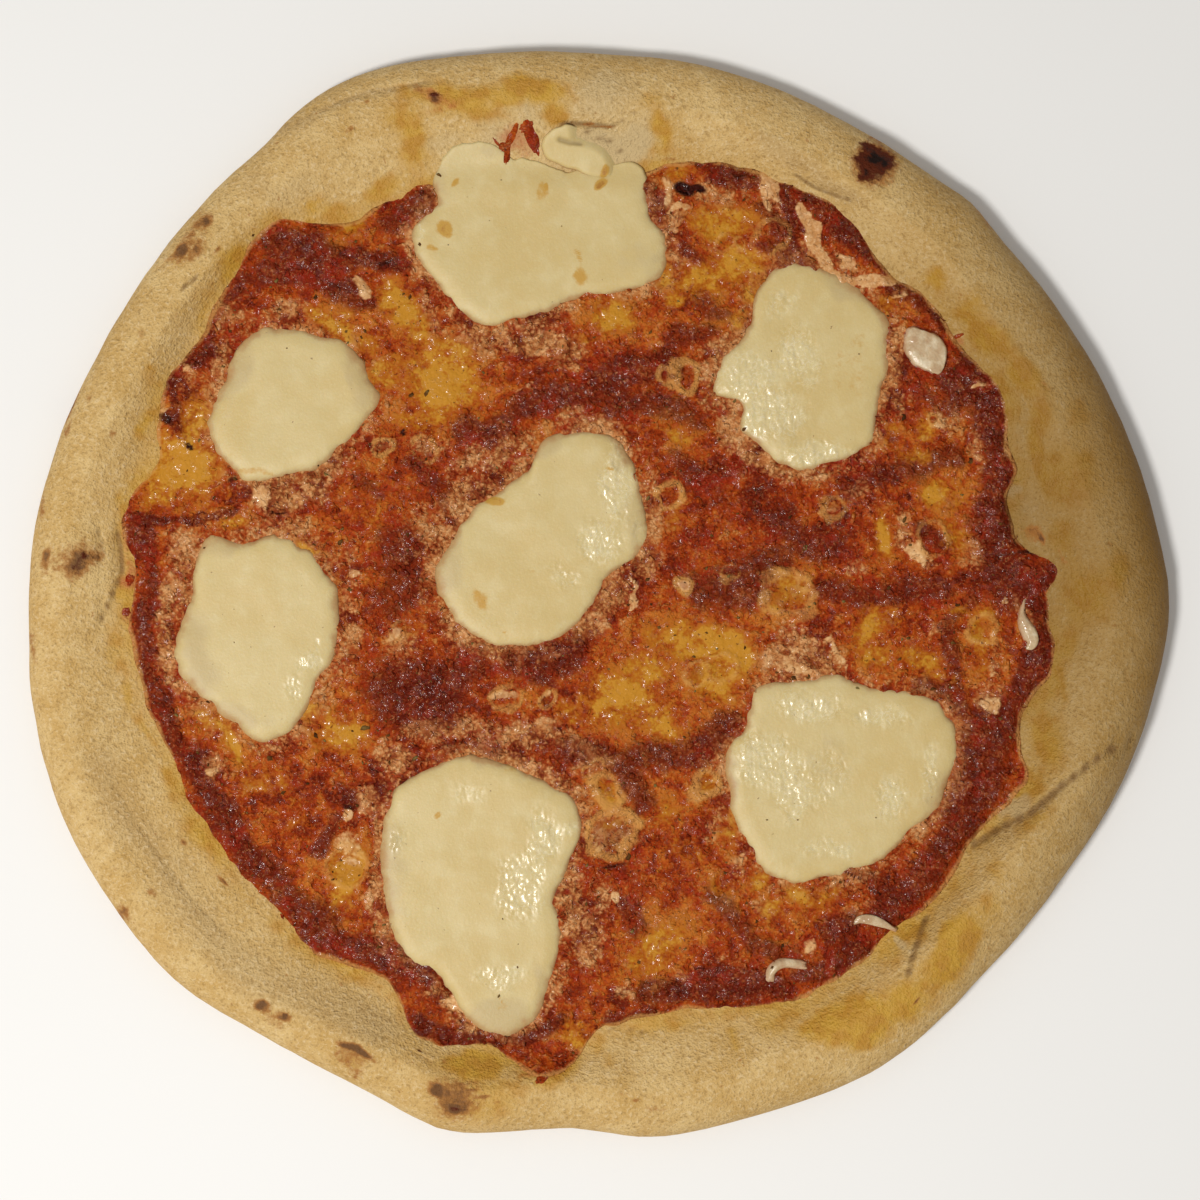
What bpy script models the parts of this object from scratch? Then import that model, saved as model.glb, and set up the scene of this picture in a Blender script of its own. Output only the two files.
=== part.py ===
"""A baked margherita pizza: a dough base with a raised rim, a layer of tomato sauce in it,
seven melted slices of mozzarella, a fold of the same cheese and four small curds on top.

Lengths are in millimetres until a mesh is made. +Z is up, the underside lies at Z = 0 and the
origin is under the middle of the whole pizza. Angles run counter-clockwise from +X.
"""

import math

import bmesh
import bpy
import numpy as np

MM = 0.001
GAP = 0.3  # left between two pieces that touch

# The dough's outer edge: a slightly oval round with lobes of (angle, bulge, half width).
LENGTH = 300.0  # along X, from edge to edge
DOUGH_RADIUS = 145.4
DOUGH_OVAL = 3.2  # added along X and taken off along Y
DOUGH_LOBES = (
    (-2, 2.4, 7),
    (35, -4.4, 22),
    (46, 1.2, 3),
    (62, -2.0, 14),
    (98, 0.8, 6),
    (116, 7.4, 13),
    (127, -1.2, 4),
    (153, -1.6, 12),
    (205, 4.6, 20),
    (222, 2.2, 8),
    (254, 3.6, 6.5),
    (267, -2.0, 6),
    (278, 1.2, 7),
    (300, 1.2, 9),
    (313, -1.6, 8),
    (327, -3.6, 13),
)
DOUGH_SEGMENTS = 108

# The dough in section.
FLOOR = 5.5  # thickness under the sauce
TOE = 7.2  # height where the rim comes out of the sauce
WAIST = 5.0  # height of the widest point
FOOT = 6.0  # how far the flat underside stays inside the edge
FOOT_TURNS = (30, 60, 90)  # where the rounded foot has its rings, from the underside up
SIDE_TURNS = (15, 30, 45, 60, 75, 90)  # the same for the outer side, up to the crest
SLOPE_SHARES = (0.2, 0.4, 0.6, 0.8, 1.0)  # the same for the way down to the sauce
CREST_HEIGHT = 15.4
CREST_LOBES = (
    (5, 1.4, 30),
    (75, -1.0, 20),
    (130, -2.4, 25),
    (185, -2.6, 25),
    (228, -1.6, 20),
    (262, -1.2, 14),
    (325, 2.0, 20),
)
CREST_INSIDE = 13.5  # how far the crest lies inside the outer edge
CREST_SHIFTS = ((20, 4.0, 35), (180, -2.5, 25), (215, -3.0, 20), (310, 3.0, 20))

# Where the sauce ends, as points along its edge. At the top it ends under the cheese.
# fmt: off
SAUCE_EDGE = (
    (121, 4), (120, 10), (111, 13), (109, 21), (108, 28), (110, 33), (107, 41), (107, 50),
    (100, 61), (93, 68), (87, 78), (77, 85), (70, 95), (61, 104), (46, 110), (34, 113),
    (23, 114), (15, 112), (8, 107), (-5, 105), (-20, 105), (-34, 105), (-42, 107), (-47, 108),
    (-55, 103), (-68, 97), (-83, 98), (-91, 91), (-98, 80), (-103, 71), (-103, 64), (-110, 61),
    (-114, 53), (-115, 44), (-115, 35), (-121, 28), (-124, 21), (-123, 12), (-121, 3), (-123, -9),
    (-120, -24), (-114, -37), (-110, -49), (-102, -62), (-97, -72), (-86, -81), (-76, -92),
    (-65, -98), (-54, -101), (-50, -113), (-41, -119), (-27, -119), (-17, -125), (-8, -123),
    (-2, -114), (8, -112), (27, -109), (48, -107), (61, -102), (72, -94), (84, -84), (94, -72),
    (102, -60), (112, -49), (111, -39), (112, -30), (118, -22), (120, -11), (118, -3),
)
# fmt: on
SAUCE_TOP = 8.0
SAUCE_LIP = 1.0  # how much lower the sauce is at its edge
SAUCE_SHOULDER = 3.0  # how far in from its edge it is full height
# The sauce's rounded edge: (share of the shoulder, share of the lip still to rise).
SAUCE_SECTION = ((0.0, 1.0), (0.5, 0.25), (1.0, 0.0))

# Mozzarella: the height of each slice and the points along its edge, in order round it.
# fmt: off
SLICES = {
    "mozzarella_top": (3.4, (
        (-48, 92), (-46, 99), (-42, 104), (-43, 110), (-38, 115.5), (-31, 117.5), (-26, 116),
        (-23.5, 112), (-20, 113.6), (-15, 112), (-8, 110.2), (-2, 111.2), (4, 112), (10, 112.6),
        (12.5, 108), (14, 100), (17, 93), (18, 87), (13, 81), (-5, 78), (-17, 73), (-31, 71),
        (-39, 78))),
    "mozzarella_fold": (1.7, (
        (-15, 116.5), (-12, 119.3), (-4, 119.8), (4, 119.4), (11, 120.5), (12.3, 117),
        (10, 115), (4, 114.2), (-2, 113.4), (-8, 112.4), (-12.5, 113.8))),
    "mozzarella_upper_right": (3.8, (
        (52, 87), (64, 82), (74, 74), (76, 64), (73, 50), (70, 39), (56, 33), (44, 37),
        (38, 43), (37, 50), (32, 53), (32, 61), (39, 68), (42, 79))),
    "mozzarella_upper_left": (2.8, (
        (-101.5, 46), (-100, 52), (-97, 58), (-94.4, 63.5), (-89.5, 68.5), (-84, 70), (-77, 68.7),
        (-69.5, 66.7), (-62.5, 61.3), (-57.5, 53), (-58, 48.5), (-62.5, 43.5), (-66, 39),
        (-73.5, 33.5), (-84, 31), (-90.5, 30), (-96, 33.8), (-100, 40))),
    "mozzarella_centre": (3.8, (
        (-5, 43), (5, 40), (11, 28), (13, 15), (4, 6), (-7, -9), (-22, -13), (-35, -9),
        (-42, 4), (-37, 16), (-29, 25), (-18, 33), (-13, 41))),
    "mozzarella_left": (3.0, (
        (-84, 16), (-92, 14), (-101, 15), (-105, 7), (-107, -4), (-111, -16), (-104, -27),
        (-87, -38), (-77, -31), (-73, -23), (-68, -12), (-69, 2), (-76, 12))),
    "mozzarella_lower_right": (4.2, (
        (62, -21), (52, -23), (42, -25), (39, -34), (33.5, -41), (35, -56), (43, -71), (52, -75.5),
        (72, -70), (87, -57), (93, -45), (93, -33), (84, -26), (71, -25))),
    "mozzarella_bottom": (4.0, (
        (-37, -42), (-26, -43), (-12, -50), (-5, -60), (-11, -77), (-12, -97), (-19, -111),
        (-28, -114), (-35, -106), (-52, -92), (-57, -73), (-56, -57), (-48, -47))),
}
# fmt: on
SLICE_SEGMENTS = 40
# A slice in section, from its underside to its flat top: (share of its width, share of its height).
SLICE_SECTION = ((0.95, 0.0), (1.0, 0.3), (0.97, 0.62), (0.88, 0.86), (0.66, 0.98))

# Curds: centre, length, width, turn of the long side and height.
CURDS = {
    "curd_upper_right": ((86, 62.5), 17.0, 12.0, 118, 2.6),
    "curd_right": ((112, -9.5), 16.0, 7.5, 100, 2.2),
    "curd_lower": ((49, -97), 12.0, 5.0, 28, 2.0),
    "curd_lower_right": ((72, -85.5), 13.0, 5.0, -10, 2.0),
}
CURD_SEGMENTS = 20

CURVE_STEPS = 12  # points between two of the named points of an edge
SHARP_OVER = 50  # degrees between two faces that don't shade as one surface

COLOURS = {
    "crust": ((0.58, 0.40, 0.17), 0.75),
    "sauce": ((0.19, 0.035, 0.012), 0.35),
    "mozzarella": ((0.66, 0.58, 0.32), 0.35),
    "curd": ((0.72, 0.66, 0.50), 0.35),
}


def clear_scene():
    for obj in list(bpy.data.objects):
        bpy.data.objects.remove(obj, do_unlink=True)


def lobes_at(angles, lobes):
    """Sum of smooth bulges, each (angle, size, half width), at the given angles in degrees."""
    total = np.zeros_like(angles)
    for centre, size, spread in lobes:
        away = (angles - centre + 180) % 360 - 180
        total += size * np.exp(-((away / spread) ** 2))
    return total


def evenly_round(count):
    return np.arange(count) * 360 / count


def dough_radius(angles):
    oval = DOUGH_OVAL * np.cos(np.radians(2 * angles))
    return DOUGH_RADIUS + oval + lobes_at(angles, DOUGH_LOBES)


def polar(radii, angles):
    return np.column_stack((radii * np.cos(np.radians(angles)), radii * np.sin(np.radians(angles))))


def fitted_outline():
    """Scale and shift that give the dough its length and centre it on the origin."""
    angles = evenly_round(DOUGH_SEGMENTS)
    points = polar(dough_radius(angles), angles)
    low, high = points.min(axis=0), points.max(axis=0)
    return LENGTH / (high - low)[0], (low + high) / 2


SCALE, MIDDLE = fitted_outline()


def smooth_closed(points):
    """A closed curve through the points, with rounded turns between them."""
    points = np.array(points, float)
    before, after, beyond = (np.roll(points, shift, axis=0) for shift in (1, -1, -2))
    curve = []
    for t in np.arange(CURVE_STEPS) / CURVE_STEPS:
        bend = 2 * before - 5 * points + 4 * after - beyond
        twist = 3 * points - before - 3 * after + beyond
        curve.append(points + ((after - before) * t + bend * t**2 + twist * t**3) / 2)
    return np.stack(curve, axis=1).reshape(-1, 2)


def radius_round(curve, centre, angles):
    """How far the closed curve lies from the centre, in each direction."""
    offset = curve - centre
    turn = np.degrees(np.arctan2(offset[:, 1], offset[:, 0])) % 360
    order = np.argsort(turn)
    return np.interp(angles, turn[order], np.hypot(*offset.T)[order], period=360)


def new_mesh_object(name, build, slot):
    """Lets build() fill a bmesh in millimetres and stores it as a smooth, closed object."""
    shape = bmesh.new()
    build(shape)
    bmesh.ops.scale(shape, vec=(MM, MM, MM), verts=shape.verts)
    bmesh.ops.recalc_face_normals(shape, faces=shape.faces)
    mesh = bpy.data.meshes.new(name)
    shape.to_mesh(mesh)
    shape.free()
    mesh.shade_smooth()
    mesh.set_sharp_from_angle(angle=math.radians(SHARP_OVER))
    mesh.materials.append(material(slot))
    obj = bpy.data.objects.new(name, mesh)
    bpy.context.collection.objects.link(obj)
    return obj


def material(slot):
    """The slot's material, made the first time it is asked for."""
    found = bpy.data.materials.get(slot)
    if found:
        return found
    made = bpy.data.materials.new(slot)
    made.use_nodes = True
    shader = made.node_tree.nodes["Principled BSDF"]
    colour, roughness = COLOURS[slot]
    shader.inputs["Base Color"].default_value = (*colour, 1)
    shader.inputs["Roughness"].default_value = roughness
    shader.inputs["Metallic"].default_value = 0
    made.diffuse_color = (*colour, 1)
    return made


def loft(shape, rings):
    """Joins rings of (points, height) from the first to the last and caps both ends flat."""
    loops = []
    for points, heights in rings:
        heights = np.broadcast_to(heights, len(points))
        loop = [shape.verts.new((x, y, z)) for (x, y), z in zip(points, heights)]
        loops.append(loop)
    for lower, upper in zip(loops, loops[1:]):
        for i in range(len(lower)):
            shape.faces.new((lower[i - 1], lower[i], upper[i], upper[i - 1]))
    shape.faces.new(reversed(loops[0]))
    shape.faces.new(loops[-1])


def sauce_radius(angles):
    return radius_round(smooth_closed(SAUCE_EDGE), np.zeros(2), angles)


def crest_round(angles):
    """Radius and height of the rim's crest."""
    inside = CREST_INSIDE + lobes_at(angles, CREST_SHIFTS)
    return dough_radius(angles) - inside, CREST_HEIGHT + lobes_at(angles, CREST_LOBES)


def slope_height(share, top):
    """Height of the rim's inner side at a share of the way from its crest down to the sauce."""
    return TOE + (top - TOE) * (1 + np.cos(math.pi * share)) / 2


def ground(points):
    """Height of what a topping lies on: the sauce, or the dough beyond it."""
    angles = np.degrees(np.arctan2(points[:, 1], points[:, 0])) % 360
    crest, top = crest_round(angles)
    inner = sauce_radius(angles) + GAP
    share = np.clip((crest - np.hypot(*points.T)) / (crest - inner), 0, 1)
    return np.maximum(SAUCE_TOP, slope_height(share, top))


def crust_section(angles, inner):
    """(radius, height) of each ring of the dough, from the underside to the dish floor."""
    outer = dough_radius(angles)
    crest, top = crest_round(angles)
    yield outer - FOOT, 0
    for turn in np.radians(FOOT_TURNS):
        yield outer - FOOT * (1 - math.sin(turn)), WAIST * (1 - math.cos(turn))
    for turn in np.radians(SIDE_TURNS):
        yield crest + (outer - crest) * math.cos(turn), WAIST + (top - WAIST) * math.sin(turn)
    for share in SLOPE_SHARES:
        yield crest + (inner - crest) * share, slope_height(share, top)
    yield inner, FLOOR


def placed(points):
    """Points in the finished frame, once the dough has its length and its middle."""
    return (points - MIDDLE) * SCALE


def make_crust():
    angles = evenly_round(DOUGH_SEGMENTS)
    section = crust_section(angles, sauce_radius(angles) + GAP)
    rings = [(placed(polar(radii, angles)), heights) for radii, heights in section]
    new_mesh_object("crust", lambda shape: loft(shape, rings), "crust")


def make_sauce():
    angles = evenly_round(DOUGH_SEGMENTS)
    edge = sauce_radius(angles)
    rings = [(placed(polar(edge, angles)), FLOOR + GAP)]
    for inward, below in SAUCE_SECTION:
        points = placed(polar(edge - inward * SAUCE_SHOULDER, angles))
        rings.append((points, SAUCE_TOP - below * SAUCE_LIP))
    new_mesh_object("sauce", lambda shape: loft(shape, rings), "sauce")


def make_topping(name, curve, height, segments, slot):
    """A soft mound on what is under it: its edge is the curve, its section always the same."""
    centre = (curve.min(axis=0) + curve.max(axis=0)) / 2
    angles = evenly_round(segments)
    edge = polar(radius_round(curve, centre, angles), angles)
    rings = []
    for width, rise in SLICE_SECTION:
        points = edge * width + centre
        rings.append((placed(points), ground(points) + GAP + height * rise))
    new_mesh_object(name, lambda shape: loft(shape, rings), slot)


def oval(centre, length, width, turn):
    """An ellipse about a centre, its long side turned from +X."""
    angles = np.radians(evenly_round(CURD_SEGMENTS * 2))
    points = np.column_stack((length / 2 * np.cos(angles), width / 2 * np.sin(angles)))
    along, across = math.cos(math.radians(turn)), math.sin(math.radians(turn))
    return points @ np.array(((along, across), (-across, along))) + centre


def make_pizza():
    clear_scene()
    make_crust()
    make_sauce()
    for name, (height, points) in SLICES.items():
        make_topping(name, smooth_closed(points), height, SLICE_SEGMENTS, "mozzarella")
    for name, (centre, length, width, turn, height) in CURDS.items():
        make_topping(name, oval(centre, length, width, turn), height, CURD_SEGMENTS, "curd")


make_pizza()
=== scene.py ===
import math
import random

import bpy
import numpy as np
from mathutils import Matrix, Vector
from mathutils.bvhtree import BVHTree


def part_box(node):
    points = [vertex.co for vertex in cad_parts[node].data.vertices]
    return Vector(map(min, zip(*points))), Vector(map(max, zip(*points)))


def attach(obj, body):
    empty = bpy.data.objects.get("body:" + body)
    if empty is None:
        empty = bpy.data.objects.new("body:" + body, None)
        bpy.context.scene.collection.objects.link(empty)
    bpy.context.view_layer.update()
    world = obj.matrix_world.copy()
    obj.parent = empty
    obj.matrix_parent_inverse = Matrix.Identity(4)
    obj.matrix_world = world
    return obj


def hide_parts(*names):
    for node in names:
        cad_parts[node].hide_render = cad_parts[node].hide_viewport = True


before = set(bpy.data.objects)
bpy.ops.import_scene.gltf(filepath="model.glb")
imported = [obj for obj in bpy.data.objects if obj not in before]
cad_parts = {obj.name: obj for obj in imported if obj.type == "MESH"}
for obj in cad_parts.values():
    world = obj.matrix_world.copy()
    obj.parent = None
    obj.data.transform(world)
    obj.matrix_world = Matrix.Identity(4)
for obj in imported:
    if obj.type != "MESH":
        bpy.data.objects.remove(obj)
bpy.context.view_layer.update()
mm = 0.001  # the numbers below are millimetres


# small tools


def makeActive(piece):
    bpy.ops.object.select_all(action="DESELECT")
    piece.select_set(True)
    bpy.context.view_layer.objects.active = piece


def newPiece(name, add, **settings):  # what an add operator makes, under a name of its own
    bpy.ops.object.select_all(action="DESELECT")
    add(**settings)
    return nameIt(bpy.context.object, name)


def nameIt(piece, name):
    piece.name = piece.data.name = name
    return piece


def joinPieces(pieces):
    makeActive(pieces[0])
    for piece in pieces:
        piece.select_set(True)
    bpy.ops.object.join()
    return bpy.context.object


def setMode(name):
    bpy.ops.object.mode_set(mode=name)


def pointOutwards():  # turns every face of the active piece outwards
    setMode("EDIT")
    bpy.ops.mesh.select_all(action="SELECT")
    bpy.ops.mesh.normals_make_consistent(inside=False)
    setMode("OBJECT")


def getPoints(piece):
    flat = np.empty(len(piece.data.vertices) * 3, np.float32)
    piece.data.vertices.foreach_get("co", flat)
    return flat.reshape(-1, 3).astype(float) / mm


def setPoints(piece, points):
    piece.data.vertices.foreach_set("co", (points * mm).astype(np.float32).ravel())
    piece.data.update()


def storeFields(piece, fields):  # numbers at each point, for the finish to read
    for name, values in fields.items():
        layer = piece.data.attributes.new(name, "FLOAT", "POINT")
        layer.data.foreach_set("value", np.asarray(values, np.float32))


def smoothStep(low, high, value):
    t = np.clip((value - low) / (high - low), 0, 1)
    return t * t * (3 - 2 * t)


def bell(distance, width):  # 1 at no distance, falling away within the width
    return np.exp(-((distance / width) ** 2))


def turnOf(x, y):
    return np.degrees(np.arctan2(y, x)) % 360


def atTurn(reach, turn):
    return reach * np.cos(np.radians(turn)), reach * np.sin(np.radians(turn))


def facing(turn=0):
    return math.cos(math.radians(turn)), math.sin(math.radians(turn))


def slotRound(offset, steps):  # which of so many directions each point lies in
    return np.round(turnOf(*offset.T) / 360 * steps).astype(int) % steps


def reachRound(points, centre, steps):  # how far the points lie from the centre in each direction
    offset = points[:, :2] - centre
    reach, slot = np.hypot(*offset.T), slotRound(offset, steps)
    return np.array([reach[slot == i].max() for i in range(steps)])


def readRound(samples, turn):  # a smooth closed curve through samples spaced evenly round
    count = len(samples)
    place = (turn % 360) / 360 * count
    i = np.floor(place).astype(int)
    t = place - i
    a, b, c, d = (samples[(i + k) % count] for k in (-1, 0, 1, 2))
    bend = 2 * a - 5 * b + 4 * c - d
    twist = 3 * b - a - 3 * c + d
    return b + ((c - a) * t + bend * t**2 + twist * t**3) / 2


def evenOut(samples, rounds):
    for _ in range(rounds):
        samples = (np.roll(samples, 1) + 2 * samples + np.roll(samples, -1)) / 4
    return samples


def cloud(x, y, size, seed):  # smooth random hills and hollows, from -1 to 1
    wide = 89  # random numbers each way before they repeat
    table = np.random.default_rng(seed).uniform(-1, 1, (wide, wide))
    u, v = x / size + 300, y / size + 300
    i, j = np.floor(u).astype(int), np.floor(v).astype(int)
    s, t = smoothStep(0, 1, u - i), smoothStep(0, 1, v - j)
    near, far = (
        table[i % wide, k % wide] * (1 - s) + table[(i + 1) % wide, k % wide] * s for k in (j, j + 1)
    )
    return near * (1 - t) + far * t


def unevenEdge(turn, radius, seed, waves):  # steps in and out along an edge; waves holds (size, length)
    x, y = atTurn(radius, turn)
    return sum(size * cloud(x, y, length, seed + k) for k, (size, length) in enumerate(waves))


def wander(x, y):  # places shifted a little, so that what is drawn there gets uneven edges
    dx, dy = (1.6 * cloud(x, y, 7, seed) + 0.9 * cloud(x, y, 2.6, seed + 1) for seed in (1, 3))
    return x + dx, y + dy


def patchField(x, y, patches):  # x, y, length, width, turn where it has one, strength; half of it on the edge
    field = np.zeros_like(x)
    for px, py, length, width, *turn, strength in patches:
        c, s = facing(*turn)
        along = ((x - px) * c + (y - py) * s) / (length / 2)
        across = ((y - py) * c - (x - px) * s) / (width / 2)
        field = np.maximum(field, strength * np.clip(1.5 - np.hypot(along, across), 0, 1))
    return field


def lineDistance(x, y, line):  # line: x, y, x, y and so on
    best = np.full_like(x, 1e9)
    for ax, ay, bx, by in zip(line[::2], line[1::2], line[2::2], line[3::2]):
        dx, dy = bx - ax, by - ay
        t = np.clip(((x - ax) * dx + (y - ay) * dy) / (dx * dx + dy * dy), 0, 1)
        best = np.minimum(best, np.hypot(x - ax - t * dx, y - ay - t * dy))
    return best


def strandField(x, y, strands):  # the same along lines: width, strength, line
    field = np.zeros_like(x)
    for width, strength, *line in strands:
        field = np.maximum(field, strength * np.clip(1.5 - lineDistance(x, y, line) / (width / 2), 0, 1))
    return field


def roughen(piece, size, depth, weights, detail=2, direction="NORMAL"):  # lumps of a size and depth
    texture = bpy.data.textures.new("lumps", "CLOUDS")
    texture.noise_scale = size * mm
    texture.noise_depth = detail
    texture.noise_basis = "ORIGINAL_PERLIN"
    makeActive(piece)
    bpy.ops.object.modifier_add(type="DISPLACE")
    push = piece.modifiers[-1]
    push.texture = texture
    push.texture_coords = "LOCAL"
    push.direction = direction
    push.mid_level = 0.5
    push.strength = depth * mm
    group = piece.vertex_groups.new(name="where")
    levels = 20
    steps = np.round(np.clip(weights, 0, 1) * levels).astype(int)
    for step in range(1, levels + 1):
        group.add(np.flatnonzero(steps == step).tolist(), step / levels, "REPLACE")
    push.vertex_group = group.name
    bpy.ops.object.modifier_apply(modifier=push.name)
    piece.vertex_groups.clear()


def finishPiece(piece, material, node=None):
    makeActive(piece)
    bpy.ops.object.shade_smooth()
    piece.data.materials.clear()
    piece.data.materials.append(material)
    if node:
        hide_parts(node)
    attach(piece, "root")


# materials


def screen(*parts):  # a colour as a screen shows it, 0 to 255
    parts = [part / 255 for part in parts]
    return tuple(((c + 0.055) / 1.055) ** 2.4 if c > 0.04 else c / 12.92 for c in parts) + (1.0,)


class Finish:  # a material, its colours and its nodes; base and relief grow layer by layer
    def __init__(self, name, colours):
        self.made = bpy.data.materials.new(name)
        self.made.use_nodes = True
        self.tree = self.made.node_tree
        self.look = {key: screen(*parts) for key, parts in colours.items()}
        self.place = self.node("TexCoord", "Object", {})
        self.base = None
        self.relief = None

    def feed(self, inputs, values):
        for name, value in values.items():
            if hasattr(value, "links"):
                self.tree.links.new(value, inputs[name])
            else:
                inputs[name].default_value = self.look[value] if isinstance(value, str) else value

    def node(self, kind, output, values, **settings):
        node = self.tree.nodes.new("ShaderNode" + kind)
        for name, value in settings.items():
            setattr(node, name, value)
        self.feed(node.inputs, values)
        return node.outputs[output]

    def field(self, name):
        return self.node("Attribute", "Fac", {}, attribute_name=name)

    def noise(self, size, detail=3, rough=0.55, twist=0.0, place=None, output="Fac"):
        place = self.place if place is None else place
        values = {"Scale": 1 / (size * mm), "Detail": detail, "Roughness": rough, "Distortion": twist}
        return self.node("TexNoise", output, {"Vector": place, **values})

    def clump(self, size):  # rounded clumps: 1 on their tops, 0 in the gaps between them
        drift = self.noise(size / 0.8, 1, 0.5, output="Color")
        bent = {0: drift, 1: (size * mm * 1.5,) * 3, 2: self.place}
        place = self.node("VectorMath", "Vector", bent, operation="MULTIPLY_ADD")
        gap = self.node("TexVoronoi", "Distance", {"Scale": 1 / (size * mm), "Vector": place})
        return self.step(gap, 0.05, 0.8, 1, 0)

    def shifted(self, far):
        values = {0: self.place, 1: (far * mm, far * mm * 0.7, 0)}
        return self.node("VectorMath", "Vector", values, operation="ADD")

    def stretched(self, factors):
        return self.node("VectorMath", "Vector", {0: self.place, 1: factors}, operation="MULTIPLY")

    def math(self, kind, a, b=0.0):
        return self.node("Math", 0, {0: a, 1: b}, operation=kind)

    def add(self, a, b):
        return self.math("ADD", a, b)

    def times(self, a, b):
        return self.math("MULTIPLY", a, b)

    def step(self, value, low, high, bottom=0.0, top=1.0):
        values = {"Value": value, "From Min": low, "From Max": high, "To Min": bottom, "To Max": top}
        return self.node("MapRange", "Result", values, interpolation_type="SMOOTHSTEP")

    def ramp(self, value, *stops):
        ramp = self.node("ValToRGB", "Color", {"Fac": value})
        points = ramp.node.color_ramp.elements
        while len(points) < len(stops):
            points.new(0.5)
        for point, (position, tint) in zip(points, stops):
            point.position = position
            point.color = self.look[tint]
        return ramp

    def mix(self, amount, under, over):
        return self.node("Mix", "Result", {"Factor": amount, "A": under, "B": over}, data_type="RGBA")

    def sum(self, *parts):  # parts: value, weight; a weight works about the middle of a noise
        total = None
        for value, weight in parts:
            term = self.times(self.math("SUBTRACT", value, 0.5), weight)
            total = term if total is None else self.add(total, term)
        return total

    def level(self, name, *jitter):  # a field made uneven by noises
        return self.add(self.field(name), self.sum(*jitter))

    def mask(self, name, soft, edge, *jitter):  # where that level is over the edge value
        return self.step(self.level(name, *jitter), edge - soft, edge + soft)

    def thread(self, noise, width):  # thin winding lines where the noise crosses its middle
        return self.step(self.math("ABSOLUTE", self.math("SUBTRACT", noise, 0.5)), width, 0.0)

    def over(self, tint, mask, share=None):  # lays a colour over those before it
        mask = mask if share is None else self.times(mask, share)
        self.base = self.mix(mask, self.base, tint)

    def bump(self, height, depth, strength):
        values = {"Height": height, "Distance": depth * mm, "Strength": strength}
        if self.relief is not None:
            values["Normal"] = self.relief
        self.relief = self.node("Bump", "Normal", values)

    def close(self, **values):
        values = {name.replace("_", " "): value for name, value in values.items()}
        if self.relief is not None:
            values["Normal"] = self.relief
        self.feed(self.tree.nodes["Principled BSDF"].inputs, {"Base Color": self.base, **values})
        return self.made


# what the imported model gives


def cornersOf(name):
    return [np.array(corner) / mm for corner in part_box(name)]


slices = [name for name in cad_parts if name.startswith("mozzarella")]
curds = [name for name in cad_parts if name.startswith("curd")]
cadSteps = {"dough": 108, "slice": 40, "curd": 20}  # how many directions each outline is read in
crustPoints = getPoints(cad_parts["crust"])
middle = np.zeros(2)
doughEdge = reachRound(crustPoints, middle, cadSteps["dough"])
sauceEdge = reachRound(getPoints(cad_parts["sauce"]), middle, cadSteps["dough"])
sauceFloor, sauceTop = (corner.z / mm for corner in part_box("sauce"))


def crestRound():  # how far out the rim's crest lies and how high it is, in each direction
    steps = cadSteps["dough"]
    slot = slotRound(crustPoints[:, :2], steps)
    crest = [crustPoints[slot == i][crustPoints[slot == i][:, 2].argmax()] for i in range(steps)]
    crest = np.array(crest)
    return np.hypot(crest[:, 0], crest[:, 1]), crest[:, 2]


def shapeOf(name):
    low, high = cornersOf(name)
    centre = (low + high)[:2] / 2
    steps = cadSteps["curd" if name in curds else "slice"]
    edge = reachRound(getPoints(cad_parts[name]), centre, steps)
    return {"centre": centre, "edge": edge}


def drawnShape(edge):  # the same from x, y, x, y along an edge
    points = np.array(edge + edge[:2], float).reshape(-1, 2)
    along = np.linspace(0, len(points) - 1, 400)
    dense = np.column_stack([np.interp(along, np.arange(len(points)), points[:, k]) for k in (0, 1)])
    centre = (dense.min(axis=0) + dense.max(axis=0)) / 2
    edge = evenOut(reachRound(dense, centre, cadSteps["slice"]), 1)
    return {"centre": centre, "edge": edge}


foldEdge = (
    -14.2, 116.2, -13.4, 114.6, -12, 113.6, -8.4, 112, -5, 110.9, -2, 109.9, 2, 109.2, 6, 109.2, 10,
    110.4, 11.6, 112.4, 11.6, 116, 10.6, 119, 8, 120.4, 4, 120.6, 0, 120.9, -4, 121.4, -8, 121.6, -10.4,
    120.8, -12.6, 118.8,
)  # fmt: skip
foldLip = (  # the side that stands up
    -13, 119.4, -14, 116.5, -13, 114.2, -8.4, 112, -3, 110.2,
)  # fmt: skip
foldCrease = (
    -10, 118.1, -7.3, 117.3, -4.6, 117.2,
)  # fmt: skip
bottomEdge = (
    -55.8, -59.5, -55, -55.6, -53, -51.7, -49.1, -48.4, -45.2, -46.6, -42.5, -44.7, -38.6, -43, -32.3,
    -43, -27.6, -43, -23.7, -45.1, -21.4, -47.4, -15.9, -48.6, -11.2, -50.2, -7.3, -52.9, -5.6, -56.4,
    -5.4, -60.3, -6.1, -63.4, -7.9, -67, -10, -71.3, -11.6, -76.7, -12, -81.4, -11.6, -86.1, -11.2, -93.1,
    -11.6, -97, -13.2, -101.7, -16.3, -106.4, -17.5, -110.7, -19.4, -113.8, -24.5, -115.4, -29.2, -114.6,
    -31.5, -112.3, -34.7, -107.2, -36.6, -104.8, -40.1, -100.2, -44.4, -98.2, -47.9, -95.9, -50.3, -93.9,
    -53.8, -90.8, -54.3, -86.1, -54.6, -80.6, -55.8, -76.7, -56.1, -71.3, -55.9, -65.8,
)  # fmt: skip
crestReach, crestHeight = crestRound()
shapes = {name: shapeOf(name) for name in slices + curds}
shapes["mozzarella_fold"] = drawnShape(foldEdge)
shapes["mozzarella_bottom"] = drawnShape(bottomEdge)
print("read the packed model:", len(slices), "slices,", len(curds), "curds")

# dough

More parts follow.
